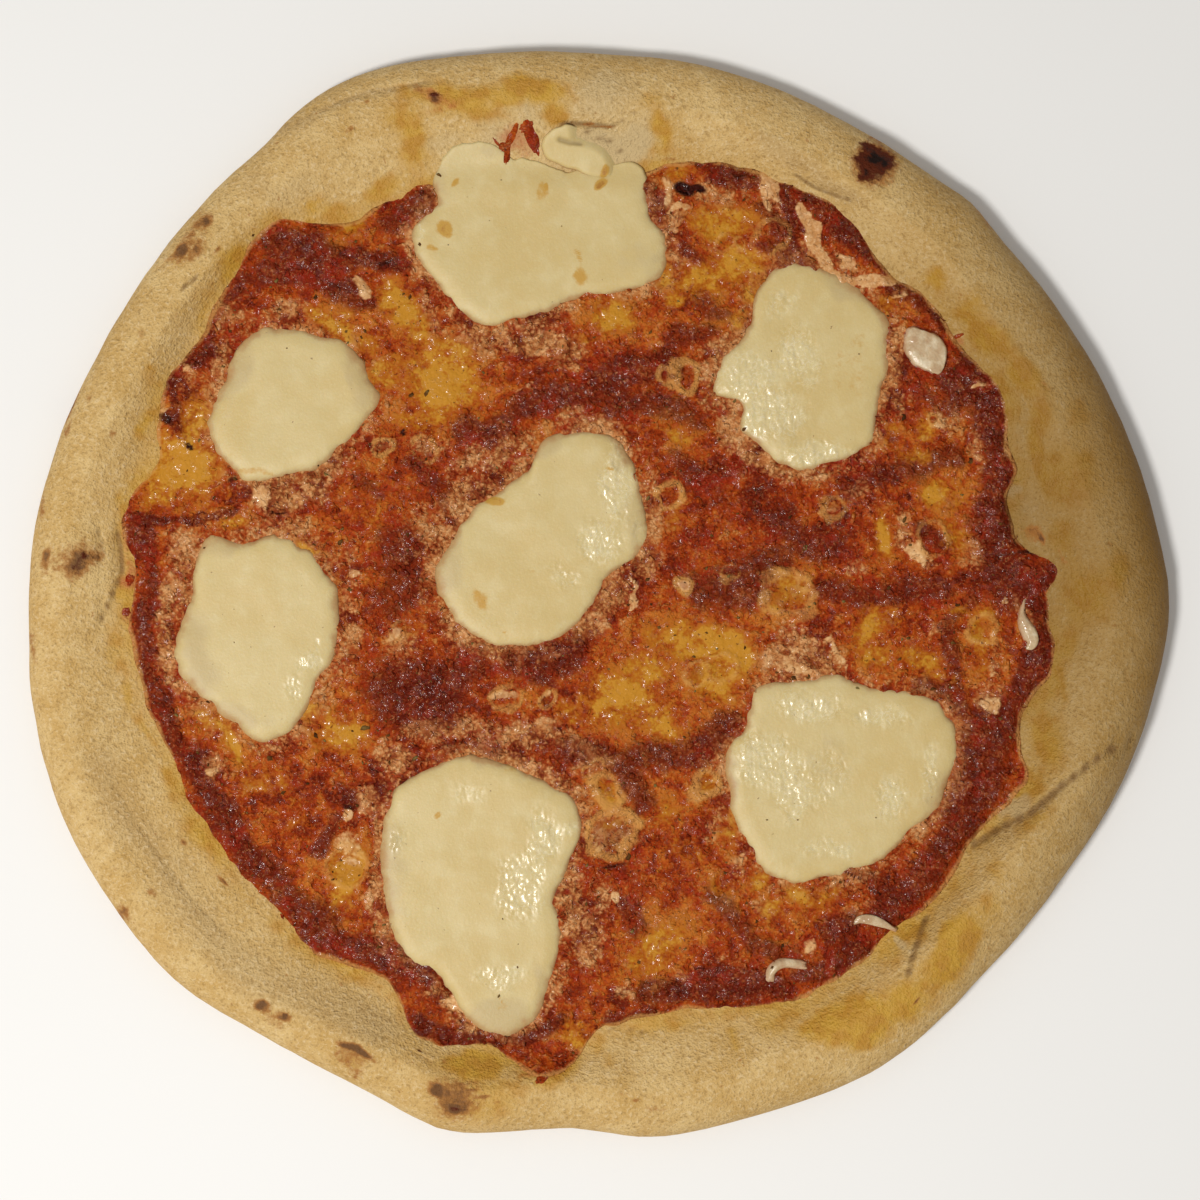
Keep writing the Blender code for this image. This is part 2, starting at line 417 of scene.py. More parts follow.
dough = {
    "roundSteps": 256,  # the most that a torus can have
    "sectionSteps": (7, 34, 44, 8, 2),  # under the sauce, inner slope, outer slope, edge, underside
    "waist": 5.0,  # height of the widest point
    "foot": 6.0,  # how far the flat underside stays inside the edge
    "toeHeight": 7.2,
    "toeBlend": 8.0,  # how far the dough slopes down under the sauce
    "inset": 0.35,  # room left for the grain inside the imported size
    "shadeTurn": 8.0,  # where the outer side is painted darker and browner, as painted shade on the side turned away from the light
    "shadeSpread": 38.0,
    "dryTurn": 58.0,  # where no oil stands beside the sauce
    "drySpread": 15.0,
    "oilBeside": 8.0,  # how far oil stands out from the sauce
    "grain": ((24, 1.3), (8, 0.6), (3.2, 0.24)),  # lumps: size and depth
    "charDepth": 0.8,
    "wrinkle": (2.3, 0.12),  # length and depth
}

toeReach = evenOut(sauceEdge, 10) - 0.5


def doughTop(reach, turn):  # height of the dough's upper side
    outer = readRound(doughEdge, turn) - dough["inset"]
    crest = readRound(crestReach, turn)
    high = readRound(crestHeight, turn) - dough["inset"]
    toe = readRound(toeReach, turn)
    down = np.clip((reach - crest) / (outer - crest), 0, 1)
    outside = dough["waist"] + (high - dough["waist"]) * np.sqrt(1 - down**2)
    share = np.clip((crest - reach) / (crest - toe), 0, 1)
    curved = (1 + np.cos(np.pi * share)) / 2
    slope = dough["toeHeight"] + (high - dough["toeHeight"]) * (0.45 * curved + 0.55 * (1 - share))
    floor = sauceFloor - 0.3
    under = dough["toeHeight"] + (floor - dough["toeHeight"]) * smoothStep(0, dough["toeBlend"], toe - reach)
    return np.where(reach > crest, outside, np.where(reach > toe, slope, under))


creases = (  # depth, below 0 for a ridge, then width and line
    (1.5, 1.1, 138, -39, 132, -40.5, 127, -44, 120, -49.5, 112, -57, 105, -61, 98, -66),
    (-1.5, 4, 131, -43, 122, -52, 113, -60, 104, -66),
    (1, 0.9, 86, -83.5, 83.5, -89, 81.5, -94, 80.5, -97, 80, -101),
    (0.6, 0.7, -85, 121, -78, 123.5, -70, 127, -62, 130, -54, 131.5, -44, 133),
    (0.7, 0.9, -131, 18, -129.5, 13, -129, 8),
    (0.9, 1, -126, 17, -124.8, 11, -124.6, 6, -127, 0, -130, -7),
    (1, 0.85, -9.8, 122.2, -4.5, 122.3, -1.6, 122, 4, 121.4),
    (0.7, 0.75, 4, 121.4, 7.3, 123.9, 11, 125.8), (0.5, 0.7, -10, 122, -12.4, 119, -14.2, 116.4),
    (0.8, 0.8, -4.5, 121.4, -2.8, 120.2, -1.4, 118.8, 2.3, 118.5, 4.5, 116.6, 6.8, 114.6),
    (1, 0.8, -107.5, 79.8, -106, 81, -104, 82.5), (0.6, 0.8, -99.5, 88, -97, 91),
    (0.8, 0.7, 51, 109.6, 56.7, 106, 62.2, 103.7, 67, 102), (0.5, 0.6, 107, 27, 112, 25, 118, 20),
    (0.3, 0.5, 111, 30, 116, 26, 121, 21), (0.3, 0.5, 110, 22, 114, 20.5),
    (0.35, 0.8, -104, -80, -99, -85, -96, -90), (0.35, 0.8, -122, -58, -116, -66, -109, -76),
    (0.3, 0.7, -127, -48, -121, -57, -113, -68), (0.3, 0.6, -112, -72, -104, -82, -97, -92),
    (-0.7, 5, -118, -44, -111, -57, -102, -70, -92, -81, -80, -92),
    (-0.6, 4, 47, 110, 57, 106, 66, 100, 75, 92), (-0.6, 4, 75, -91, 80, -90, 86, -92),
    (0.7, 1.2, 3, -114.5, 7, -113.8, 12, -115),
)  # fmt: skip
bubbles = (  # x, y, size, height
    (71.5, 112.5, 17, 0.8), (-134, 8, 18, 1), (-120, 8, 9, 0.5), (115, 14, 9, 0.7), (-63, -119, 13, 0.6),
    (-87, -107, 9, 0.5), (-37, -131, 22, 0.8), (-105, 92, 20, 0.7), (128, 4, 22, 0.5),
    (-75, 112, 26, 0.5), (100, 84, 24, 0.4), (20, -128, 22, 0.4), (0, 130, 16, 0.5), (-20, 125, 7, 0.7),
    (-27, 121, 6, 0.5),
)  # fmt: skip
charSpots = (  # x, y, length, width, turn where it has one, strength, as in every list of patches
    (73.6, 112.6, 7, 7, 1.15), (71.4, 115.6, 4, 5, 20, 1.05), (76, 113, 3.4, 2.4, 0.9),
    (70.6, 109, 5, 5, 1), (69, 112.6, 4, 6, 0.85), (-135, 7.6, 4.4, 2.8, 50, 0.9),
    (-133.6, 9.4, 1.6, 1.6, 0.7), (-148.6, -12.5, 1.6, 1.2, 1), (-24.3, 126.8, 0.8, 1.4, 1),
    (-36, 123, 1, 1.6, 35, 1), (-42.6, 129.3, 1.2, 1.2, 0.8), (-46, -119.6, 0.8, 0.8, 0.9),
    (-65, -117.2, 1.8, 1, 0.6), (-36.5, -133, 1.8, 2, 0.65), (115.6, 14.8, 1, 1.4, 30, 0.8),
)  # fmt: skip
brownSpots = (
    (-103.3, 96.8, 5.4, 4.2, 20, 0.95), (-103, 97, 8, 7, 0.55), (-108.8, 88.6, 5, 4.4, 30, 0.98),
    (-104.5, 88.8, 5, 3.4, 40, 0.8), (-106.5, 89, 14, 9, 40, 0.6), (-112, 86, 9, 4, 20, 0.5),
    (-65, 120, 3, 2.6, 0.9), (-61, 127, 2.6, 1.6, 0.62), (-113, 77, 3.6, 2.2, -40, 0.75),
    (-119, 68, 3, 3.4, 0.5), (-132.5, 52, 2.6, 3.2, 0.82), (-137.6, 49, 8, 2.2, 62, 0.85),
    (-138.6, 43.5, 4, 2.4, 60, 0.7), (-126, 41.5, 2.6, 2.2, 0.62), (-145.6, 22, 7, 2.6, 80, 0.6),
    (-143.3, 12, 4.4, 3.6, 30, 0.85), (-144, 8, 4, 3, 0.6), (-137, 9, 18, 11, 20, 0.52),
    (-131, 8.5, 5, 4, 0.8), (-135, 8, 10, 7, 55, 0.9), (-133, 14, 4, 3, 0.55),
    (-147, -8.5, 3, 2, 30, 0.6), (-145, -9.3, 3.4, 2.4, 0.75), (-147, -16, 5, 2.4, -70, 0.62),
    (-142.7, -19, 2.8, 2.2, 0.7), (-148, -12.5, 4, 3, 0.75), (-139.4, -52.5, 1.6, 1.4, 0.85),
    (-127, -70, 3.4, 3, 0.58), (-116.3, -77, 3, 3.6, 0.62), (-124, -83, 6.4, 5, -50, 0.78),
    (-107.5, -65, 2.6, 1.6, 30, 0.78), (-87.4, -106.2, 3.4, 4.2, 1.1), (-81.8, -109.6, 2.6, 3.2, 0.98),
    (-84, -111, 9, 5, -20, 0.5), (-64.6, -117.4, 6, 2.6, -20, 1.15), (-59.5, -120, 5, 2.4, -30, 1.05),
    (-65, -120, 10, 7, -20, 0.6), (-63.5, -125, 3, 5.5, 0.62), (-42.5, -128.6, 3.8, 2.8, -40, 1.1),
    (-36.6, -133, 4.6, 4.6, 1.1), (-36, -138, 1.8, 6, 0.9), (-37, -131, 13, 12, 0.78),
    (-30, -129.6, 10, 1.2, -38, 0.75), (-36, -126.6, 11, 1.1, 12, 0.75), (-27, -125.4, 3.4, 1.8, 40, 0.7),
    (-41, -122.5, 4, 1.2, 30, 0.6), (5, -129.4, 3, 1.4, -50, 0.75), (9, -131, 7, 1.2, -30, 0.68),
    (15, -133, 6, 2.6, 0.5), (72, 112, 12, 13, -30, 1), (69.6, 107.6, 4, 4, 0.7),
    (-43.5, 129, 11, 2.6, -38, 1), (-40.5, 126, 5, 1.8, -38, 0.7), (101, 97.5, 8, 2.2, -60, 0.6),
    (113.5, 15.6, 7, 3.6, 5, 0.8), (116, 15, 2.6, 3.6, 30, 1), (119.6, 16, 3, 1.6, 0.7),
    (120.6, 9.8, 2, 3, 0.6), (112, 38.6, 1.5, 1.3, 0.95), (115, 41, 0.8, 0.8, 0.8),
    (114.6, 54.5, 1.2, 1, 0.8), (83.2, -105, 1.6, 1.2, 0.95), (82.4, -107, 1, 0.8, 0.9),
    (-98, 89.6, 4.4, 1.1, 55, 0.8), (1, 122, 11, 0.9, -4, 0.72), (-3.5, 122.2, 4, 1.4, 0.85),
    (-31, 128.5, 0.7, 0.7, 0.9), (9, 118.3, 0.9, 0.8, 0.9), (-55, 130.5, 1.6, 1.6, 0.55),
    (24, 112.5, 8, 2.2, 5, 0.72), (18.5, 113.5, 5, 2, 0.6), (-99, -74.5, 3.4, 1.3, -60, 0.9),
    (-97.5, -76.4, 3.4, 1.1, -35, 0.95), (119, -26, 1, 1, 0.7), (72, 119.3, 5, 1.4, 0.6),
)  # fmt: skip
oilStains = (
    (-49, 119, 9, 20, 5, 0.9), (-53, 124, 12, 10, 0.6), (-48, 130, 12, 5, -30, 0.7),
    (-36, 127.5, 22, 9, -15, 0.92), (-24, 129.5, 14, 5, 0.9), (-15, 131, 19, 7, 1.05),
    (-11, 125.6, 6, 8, 20, 1), (14, 126.5, 4, 6, -10, 1), (14.6, 119, 4.4, 14, 3, 1.05),
    (17, 112, 8, 4, 0.8), (-57, 106, 13, 6, 25, 0.85), (-68, 99, 11, 8, 0.75), (-74, 102, 5, 5, 30, 0.85),
    (-76, 98, 3, 5, -20, 0.8), (-93.5, 87.5, 13, 7, 35, 0.98), (-87, 91, 4, 4, 0.75),
    (-104, 73, 3, 6, 0.7), (-104, 66, 2.4, 4, 0.7), (-116, 57, 4, 5, 0.7), (-118, 43, 4, 9, 0.85),
    (-118, 34, 4, 8, 0.55), (-124.5, 21, 4, 13, 0.75), (-123.5, 0, 3.6, 14, 0.85),
    (-126.5, -14, 7, 14, 5, 0.6), (-123.5, -26, 4, 10, 10, 0.75), (-118, -35, 4, 12, 25, 0.68),
    (-113.5, -46, 3, 8, 15, 0.8), (-105, -58, 4, 9, 30, 0.55), (-92, -80, 4, 9, 40, 0.5),
    (-77, -94, 4, 9, 50, 0.5), (-56, -102, 3, 9, 60, 0.55), (-31, -122, 22, 6, 5, 1.05),
    (-31, -130, 26, 16, 0.6), (-12, -127, 14, 4, 15, 0.6), (3, -121, 6, 4, 0.5), (-1, -117, 5, 6, 0.6),
    (19, -112.5, 9, 4, 0.7), (45, -112, 9, 6, 0.62), (35, -116, 4, 6, 0.72), (57, -112, 14, 7, 10, 0.9),
    (66, -108, 22, 9, 20, 1.1), (91, -92, 9, 22, -30, 1.2), (67, -110, 22, 11, 12, 1.3),
    (69, -113, 12, 12, 1), (80, -105, 15, 13, 30, 1), (69, -117, 8, 5, 0.8), (94, -90, 15, 8, 48, 1.15),
    (90, -98, 8, 10, -35, 0.85), (100, -82, 7, 13, 20, 0.62), (104, -72, 6, 7, 0.6),
    (117, -37, 9, 17, 10, 0.85), (113, -58, 12, 5, 40, 0.7), (120, -22, 3.4, 14, 0.75),
    (127, 0, 12, 16, 0.9), (133, 5, 7, 14, -8, 0.95), (124, -8, 8, 5, 0.7), (122, 30, 15, 18, 0.72),
    (115, 36, 4, 20, 14, 0.98), (126, 34, 5, 8, 0.85), (114, 47, 8, 12, 0.8), (110, 57, 8, 12, 30, 0.95),
    (102, 67, 9, 13, 35, 0.9), (96, 74, 10, 8, 0.8), (88, 82, 6, 5, 0.92), (124, 45, 8, 12, 0.55),
    (122, 14, 7, 10, 0.8), (122.5, -13, 3, 10, 0.75), (100, 98, 3, 10, 30, 0.62), (112, 20, 4, 8, 0.5),
    (130, -5, 8, 6, 0.6), (-64, -121, 6, 4, 0.6),
)  # fmt: skip
paleDough = (
    (0, 129, 17, 11, 0.9), (1, 115, 26, 14, 1.3), (9, 119, 10, 9, 1.2), (-26, 118, 12, 8, 0.9),
    (-19, 125.5, 10, 6, -30, 0.95), (-27, 122, 9, 7, 0.8), (109, 28, 5, 7, 1.2),
    (112, 23, 9, 8, -30, 0.75), (109, 45, 4, 14, 10, 0.8), (78.5, -91, 7, 4, -25, 1.3),
    (108, -55, 14, 5, 40, 1.3), (-112, 92, 8, 8, 0.3), (7, 121.5, 9, 5, 10, 0.7),
    (-41, 117, 10, 4, 20, 0.7), (-115, 8, 4, 4, 0.4), (-60, -100, 12, 3, -20, 0.7), (119, -3, 3, 5, 0.6),
    (8, 114, 8, 6, 0.7),
)  # fmt: skip
redStains = (
    (-21, 117.5, 11, 8, 0.75), (-42.5, 128.5, 12, 3.4, -38, 0.9), (-122.6, 3.4, 4, 4, 0.95),
    (-123.6, -4.6, 3.4, 3.4, 0.9), (-16, -126, 8, 3, 10, 0.7), (26, 112, 6, 2.6, 10, 0.7),
    (-124, 12, 2.4, 9, 0.55), (95, 67, 4, 2, 20, 0.8),
)  # fmt: skip
greyDough = (  # where the skin dried and wrinkled: width, strength, line
    (9, 0.7, -130, -46, -120, -60, -110, -76, -102, -88, -88, -100, -70, -108, -58, -113),
    (4, 0.9, -124, -56, -114, -71, -106, -82, -98, -91), (3, 0.8, 42, 118, 50, 114, 60, 106, 68, 103),
    (3, 0.7, -84, 121.5, -70, 127, -55, 131, -45, 133), (5, 0.5, -90, 108, -84, 104, -76, 108),
)  # fmt: skip


def doughRing():  # the rim as a ring, cut open on its inner side and closed by floor and underside
    rings = sum(dough["sectionSteps"]) + 1
    around, thick = 130, 10
    piece = newPiece(
        "doughRim", bpy.ops.mesh.primitive_torus_add, major_segments=dough["roundSteps"],
        minor_segments=rings, major_radius=around * mm, minor_radius=thick * mm,
    )  # fmt: skip
    points = getPoints(piece)
    turn = turnOf(points[:, 0], points[:, 1])
    lean = np.arctan2(points[:, 2], np.hypot(points[:, 0], points[:, 1]) - around) % (2 * np.pi)
    ring = (rings // 2 - np.round(lean / (2 * np.pi) * rings).astype(int)) % rings
    corner = np.empty(len(piece.data.polygons) * 4, np.int32)
    piece.data.polygons.foreach_get("vertices", corner)
    ringOf = ring[corner.reshape(-1, 4)]
    gap = (ringOf.min(axis=1) == 0) & (ringOf.max(axis=1) == rings - 1)
    setMode("EDIT")
    bpy.ops.mesh.select_mode(type="FACE")
    bpy.ops.mesh.select_all(action="DESELECT")
    setMode("OBJECT")
    piece.data.polygons.foreach_set("select", gap)
    setPoints(piece, onSection(turn, ring))
    setMode("EDIT")
    bpy.ops.mesh.delete(type="FACE")
    bpy.ops.mesh.select_mode(type="VERT")
    bpy.ops.mesh.select_all(action="DESELECT")
    bpy.ops.mesh.select_non_manifold()
    bpy.ops.mesh.fill_holes(sides=0)
    pointOutwards()
    return piece


def onSection(turn, ring):  # puts each point of the ring on the dough's section
    under, inner, outer, edge, below = dough["sectionSteps"]
    rim = readRound(doughEdge, turn) - dough["inset"]
    crest = readRound(crestReach, turn)
    toe = readRound(toeReach, turn)
    start = toe - dough["toeBlend"] - 4
    reach = start + (toe - start) * np.clip(ring / under, 0, 1)
    reach += (crest - toe) * np.clip((ring - under) / inner, 0, 1)
    fall = np.clip((ring - under - inner) / outer, 0, 1) * np.pi / 2
    reach += (rim - crest) * np.sin(fall)
    height = doughTop(reach, turn)
    roll = np.clip((ring - under - inner - outer) / edge, 0, 1) * np.pi / 2
    turned = ring > under + inner + outer
    height = np.where(turned, dough["waist"] * (1 - np.sin(roll)), height)
    reach = np.where(turned, rim - dough["foot"] * (1 - np.cos(roll)), reach)
    reach -= np.clip((ring - under - inner - outer - edge) / below, 0, 1) * 6
    return np.column_stack((*atTurn(reach, turn), height))


def doughRelief(x, y):  # what is pressed into or raised on the rim, besides its grain
    lift = np.zeros_like(x)
    for px, py, size, height in bubbles:
        lift += height * np.exp(-(((x - px) ** 2 + (y - py) ** 2) / (size / 2) ** 2))
    wx, wy = x + 0.8 * cloud(x, y, 4, 21), y + 0.8 * cloud(x, y, 4, 22)
    for depth, width, *line in creases:
        lift -= depth * bell(lineDistance(wx, wy, line), width)
    burnt = smoothStep(0.4, 0.8, patchField(wx, wy, charSpots))
    dried = strandField(x, y, greyDough)
    length, depth = dough["wrinkle"]
    across = np.sin((x * 0.75 + y * 0.66 + 1.6 * cloud(x, y, 9, 23)) * 2 * np.pi / length)
    return lift - dough["charDepth"] * burnt + depth * across * smoothStep(0.3, 0.8, dried)


def doughFields(x, y, height, upper):  # what kind of dough is at each place
    wx, wy = wander(x, y)
    nx, ny = (x + wx) / 2, (y + wy) / 2
    turn = turnOf(x, y)
    beside = smoothStep(dough["oilBeside"], 0, np.hypot(wx, wy) - readRound(sauceEdge, turn))
    beside *= 0.6 + 0.45 * cloud(x, y, 13, 24)
    beside *= 1 - 0.85 * bell(turn - dough["dryTurn"], dough["drySpread"])
    rim, crest = readRound(doughEdge, turn), readRound(crestReach, turn)
    shadedSide = bell((turn - dough["shadeTurn"] + 180) % 360 - 180, dough["shadeSpread"])
    outwards = smoothStep(0.1, 0.95, (np.hypot(x, y) - crest) / (rim - crest))
    # painted shade: each crease pressed into the rim is drawn darker, as the shade that lies in it
    shadedCreases = [
        np.clip(depth, 0, 1) * bell(lineDistance(x, y, line), 1.05 * width) for depth, width, *line in creases
    ]
    return {
        "oil": np.maximum(patchField(wx, wy, oilStains), beside) * upper,
        # painted shade: darker on the outer side turned away from the light, most towards the edge
        "side": (0.66 + 0.28 * outwards) * shadedSide,
        "brown": patchField(nx, ny, brownSpots),
        "red": patchField(wx, wy, redStains),
        "char": patchField(nx, ny, charSpots),
        "pale": patchField(wx, wy, paleDough),
        "grey": strandField(wx, wy, greyDough),
        "creaseShade": np.max(shadedCreases, axis=0),
        "below": 1 - smoothStep(0.5, 4, height),
    }


def makeDough():
    piece = doughRing()
    upper = smoothStep(3, 7, getPoints(piece)[:, 2])
    for size, depth in dough["grain"]:
        roughen(piece, size, depth, 0.25 + 0.75 * upper)
    points = getPoints(piece)
    x, y = points[:, 0], points[:, 1]
    points[:, 2] += doughRelief(x, y) * upper
    points[points[:, 2] < 0.35, 2] = 0.05  # the underside stands flat, clear of the floor
    setPoints(piece, np.clip(points, *cornersOf("crust")))
    storeFields(piece, doughFields(x, y, points[:, 2], upper))
    finishPiece(piece, doughFinish(), "crust")
    print("dough:", len(piece.data.polygons), "faces")
    return piece


def doughFinish():
    paint = Finish("bakedDough", {
        # side is a painted shade colour for the outer side turned away from the light
        "pale": (213, 181, 121), "tan": (203, 168, 106), "warm": (196, 158, 92), "side": (118, 82, 20),
        "flour": (226, 200, 154), "pit": (152, 116, 64), "oil": (194, 148, 44), "deepOil": (178, 124, 24),
        "red": (176, 92, 52), "crack": (112, 78, 40), "brown": (156, 100, 40), "toast": (92, 50, 18),
        "black": (30, 15, 9), "burnt": (84, 34, 14), "dry": (178, 148, 100), "milk": (198, 172, 124),
        "under": (196, 150, 92), "underSpot": (120, 72, 34),
    })  # fmt: skip
    broad = paint.noise(18, 3)
    blotch = paint.noise(4.5, 4)
    speckle = paint.noise(1.5, 4, 0.7)
    fine = paint.noise(1.4, 4, 0.65)
    sand = paint.noise(1.1, 2, 0.6)
    dust = paint.noise(0.6, 2, 0.6, place=paint.shifted(70))
    tone = paint.add(paint.sum((broad, 0.9), (blotch, 0.6), (speckle, 0.25)), 0.5)
    paint.base = paint.ramp(tone, (0.33, "warm"), (0.5, "tan"), (0.68, "pale"))
    paint.over("milk", paint.field("pale"), 0.75)
    paint.over("dry", paint.field("grey"), 0.6)
    paint.over("flour", paint.step(sand, 0.53, 0.7, 0, 0.5))
    paint.over("pit", paint.step(sand, 0.46, 0.3, 0, 0.5))
    paint.over("flour", paint.step(dust, 0.55, 0.7, 0, 0.4))
    paint.over("pit", paint.step(dust, 0.44, 0.28, 0, 0.35))
    freckle = paint.noise(1.9, 2, place=paint.shifted(40))
    paint.over("brown", paint.step(freckle, 0.715, 0.74), 0.55)
    oil = paint.mask("oil", 0.4, 0.52, (blotch, 0.9), (broad, 0.5), (speckle, 0.3))
    paint.over(paint.mix(paint.step(blotch, 0.35, 0.65), "oil", "deepOil"), oil, 0.9)
    paint.over("milk", paint.step(paint.field("pale"), 0.75, 1.15, 0, 0.75))
    # painted shade on the outer side turned away from the light
    paint.over("side", paint.field("side"))
    paint.over("red", paint.mask("red", 0.35, 0.55, (blotch, 0.9), (speckle, 0.7)), 0.7)
    # painted shade in the creases, in the dark brown crack colour
    paint.over("crack", paint.step(paint.field("creaseShade"), 0.3, 0.95, 0, 0.72))
    toasted = paint.step(paint.level("brown", (fine, 0.7)), 0.6, 0.95)
    brown = paint.mask("brown", 0.22, 0.5, (fine, 0.9), (blotch, 0.3))
    paint.over(paint.mix(toasted, "brown", "toast"), brown, 0.9)
    charred = paint.step(paint.level("char", (fine, 0.8), (blotch, 0.8)), 0.85, 1.15)
    burnt = paint.mask("char", 0.24, 0.5, (fine, 1.2))
    paint.over(paint.mix(charred, "burnt", "black"), burnt)
    spots = paint.step(paint.noise(9, 4, 0.6), 0.52, 0.68)
    paint.over(paint.mix(spots, "under", "underSpot"), paint.field("below"))
    for height, depth, strength in ((speckle, 0.5, 0.35), (sand, 0.8, 0.7), (dust, 0.5, 0.7)):
        paint.bump(height, depth, strength)
    rough = paint.math("SUBTRACT", paint.step(oil, 0, 1, 0.75, 0.5), paint.times(burnt, 0.25))
    return paint.close(Roughness=rough, Specular_IOR_Level=paint.step(burnt, 0, 1, 0.3, 0.1))


# tomato sauce

sauce = {
    "gridSteps": 300,
    "film": 0.15,  # how thin it ends on the dough
    "full": 3.4,  # how far in from its edge it reaches its depth
    "unevenEdge": ((0.9, 11.0), (0.4, 4.6), (0.2, 1.6)),
    "lumps": ((9, 1.3, 2), (3.6, 1.1, 2), (1.8, 0.4, 0)),  # size, depth, detail
    "scrapReach": 124.0,  # no scrap lies further out
}

oilPools = (
    (-110, 33, 20, 19, 1.15), (-114, 27, 14, 7, 20, 0.9), (-105.5, 46, 9, 18, 1), (-118, 40, 4, 9, 0.75),
    (-96, 19, 9, 5, -10, 0.9), (-95, 26, 6, 6, 0.6), (-72, 72, 14, 6, -12, 0.98),
    (-67, 70, 7, 8, -30, 1.05), (-52, 76, 9, 15, 20, 1), (-47, 69, 8, 13, 0.85),
    (-60, 65, 9, 8, -40, 0.8), (-56, 57, 9, 9, 0.8), (-47, 60, 14, 10, 0.9), (-40, 55, 20, 18, 10, 1.1),
    (-38, 64, 12, 6, 0.85), (-46, 46, 16, 7, 15, 0.85), (-82, 33, 9, 3, 5, 0.9),
    (-75, 12, 9, 3, -40, 0.85), (-68, 2, 3, 14, 10, 0.6), (4, 73, 13, 9, -15, 1), (-2, 67, 8, 4, 0.7),
    (26, 82, 18, 11, 10, 1), (36, 87, 20, 12, 0.88), (32, 97, 18, 12, 0.85), (20, 76, 10, 6, 0.9),
    (41, 80, 12, 7, 40, 0.85), (36, 73, 10, 6, 30, 0.7), (20, 111, 9, 6, 0.75), (-64, 97, 9, 6, 20, 1),
    (17, 84, 5, 9, 0.85), (24, -12, 24, 12, 1), (36, -16, 11, 15, 20, 1.12), (30, -22, 14, 14, 1.05),
    (12, -20, 14, 10, 0.9), (5, -27, 24, 14, 8, 0.98), (16, -33, 18, 10, -30, 0.92), (-7, -31, 8, 7, 0.8),
    (88, 27, 9, 8, 20, 1.05), (94, 25, 6, 6, 0.7), (75, 15, 5, 13, 12, 1.05), (93, 15, 8, 12, 0.72),
    (70, -10, 8, 14, -20, 0.98), (76, -6, 9, 5, 20, 0.8), (84, -17, 14, 7, -5, 1), (73, -17, 9, 6, 0.8),
    (100, -12, 6, 18, 8, 0.85), (103, -6, 9, 4, -20, 0.9), (86, 43, 8, 7, 0.85), (82, 37, 9, 5, 0.7),
    (76, 42, 5, 10, 0.75), (-97, -37, 15, 4.6, -55, 1.05), (-103, -33, 6, 6, 0.8),
    (-68, -37, 14, 12, -10, 1.05), (-75, -31, 7, 8, 0.85), (-86, -49, 22, 9, -10, 0.66),
    (-66, -73, 9, 20, -8, 1.1), (-68, -80, 8, 7, 0.9), (16, -92, 18, 7, 40, 1.02),
    (10, -97, 8, 6, 30, 0.9), (46, -83, 9, 6, -20, 0.9), (18, -57, 8, 8, 0.7), (22, -67, 11, 6, 0.6),
    (56, -79, 18, 5, -4, 0.85), (-6, -116, 9, 9, 0.85), (-78, -60, 12, 6, 20, 0.62),
    (20, 42, 12, 6, -20, 0.7), (51, 2, 12, 10, 0.8), (46, -3, 8, 5, 0.7), (94, -4, 8, 4, 0.7),
    (2, -52, 8, 8, 0.85), (27, -50, 7, 7, 0.9), (34, -60, 5, 16, 0.7), (-14, -27, 7, 6, 0.7),
    (60, 84, 10, 3, -40, 0.6), (76, 76, 6, 9, -40, 0.95), (73, 70, 3, 12, 0.75), (-48, -10, 6, 6, 0.5),
    (62, 23, 7, 4, 0.6), (43, -74, 5, 6, -45, 0.95), (90, -21, 10, 3, -10, 0.7), (71, 52, 2.4, 30, 0.55),
    (52, 33, 12, 2, 0.4), (-103, 26, 4, 10, 10, 0.7), (34, -76, 9, 6, 0.6), (57, -84, 9, 5, 0.6),
    (4, -60, 6, 5, 0.85), (-58, -44, 7, 4, 0.4), (-60, 20, 10, 8, 0.45), (20, 20, 8, 10, 0.5),
)  # fmt: skip
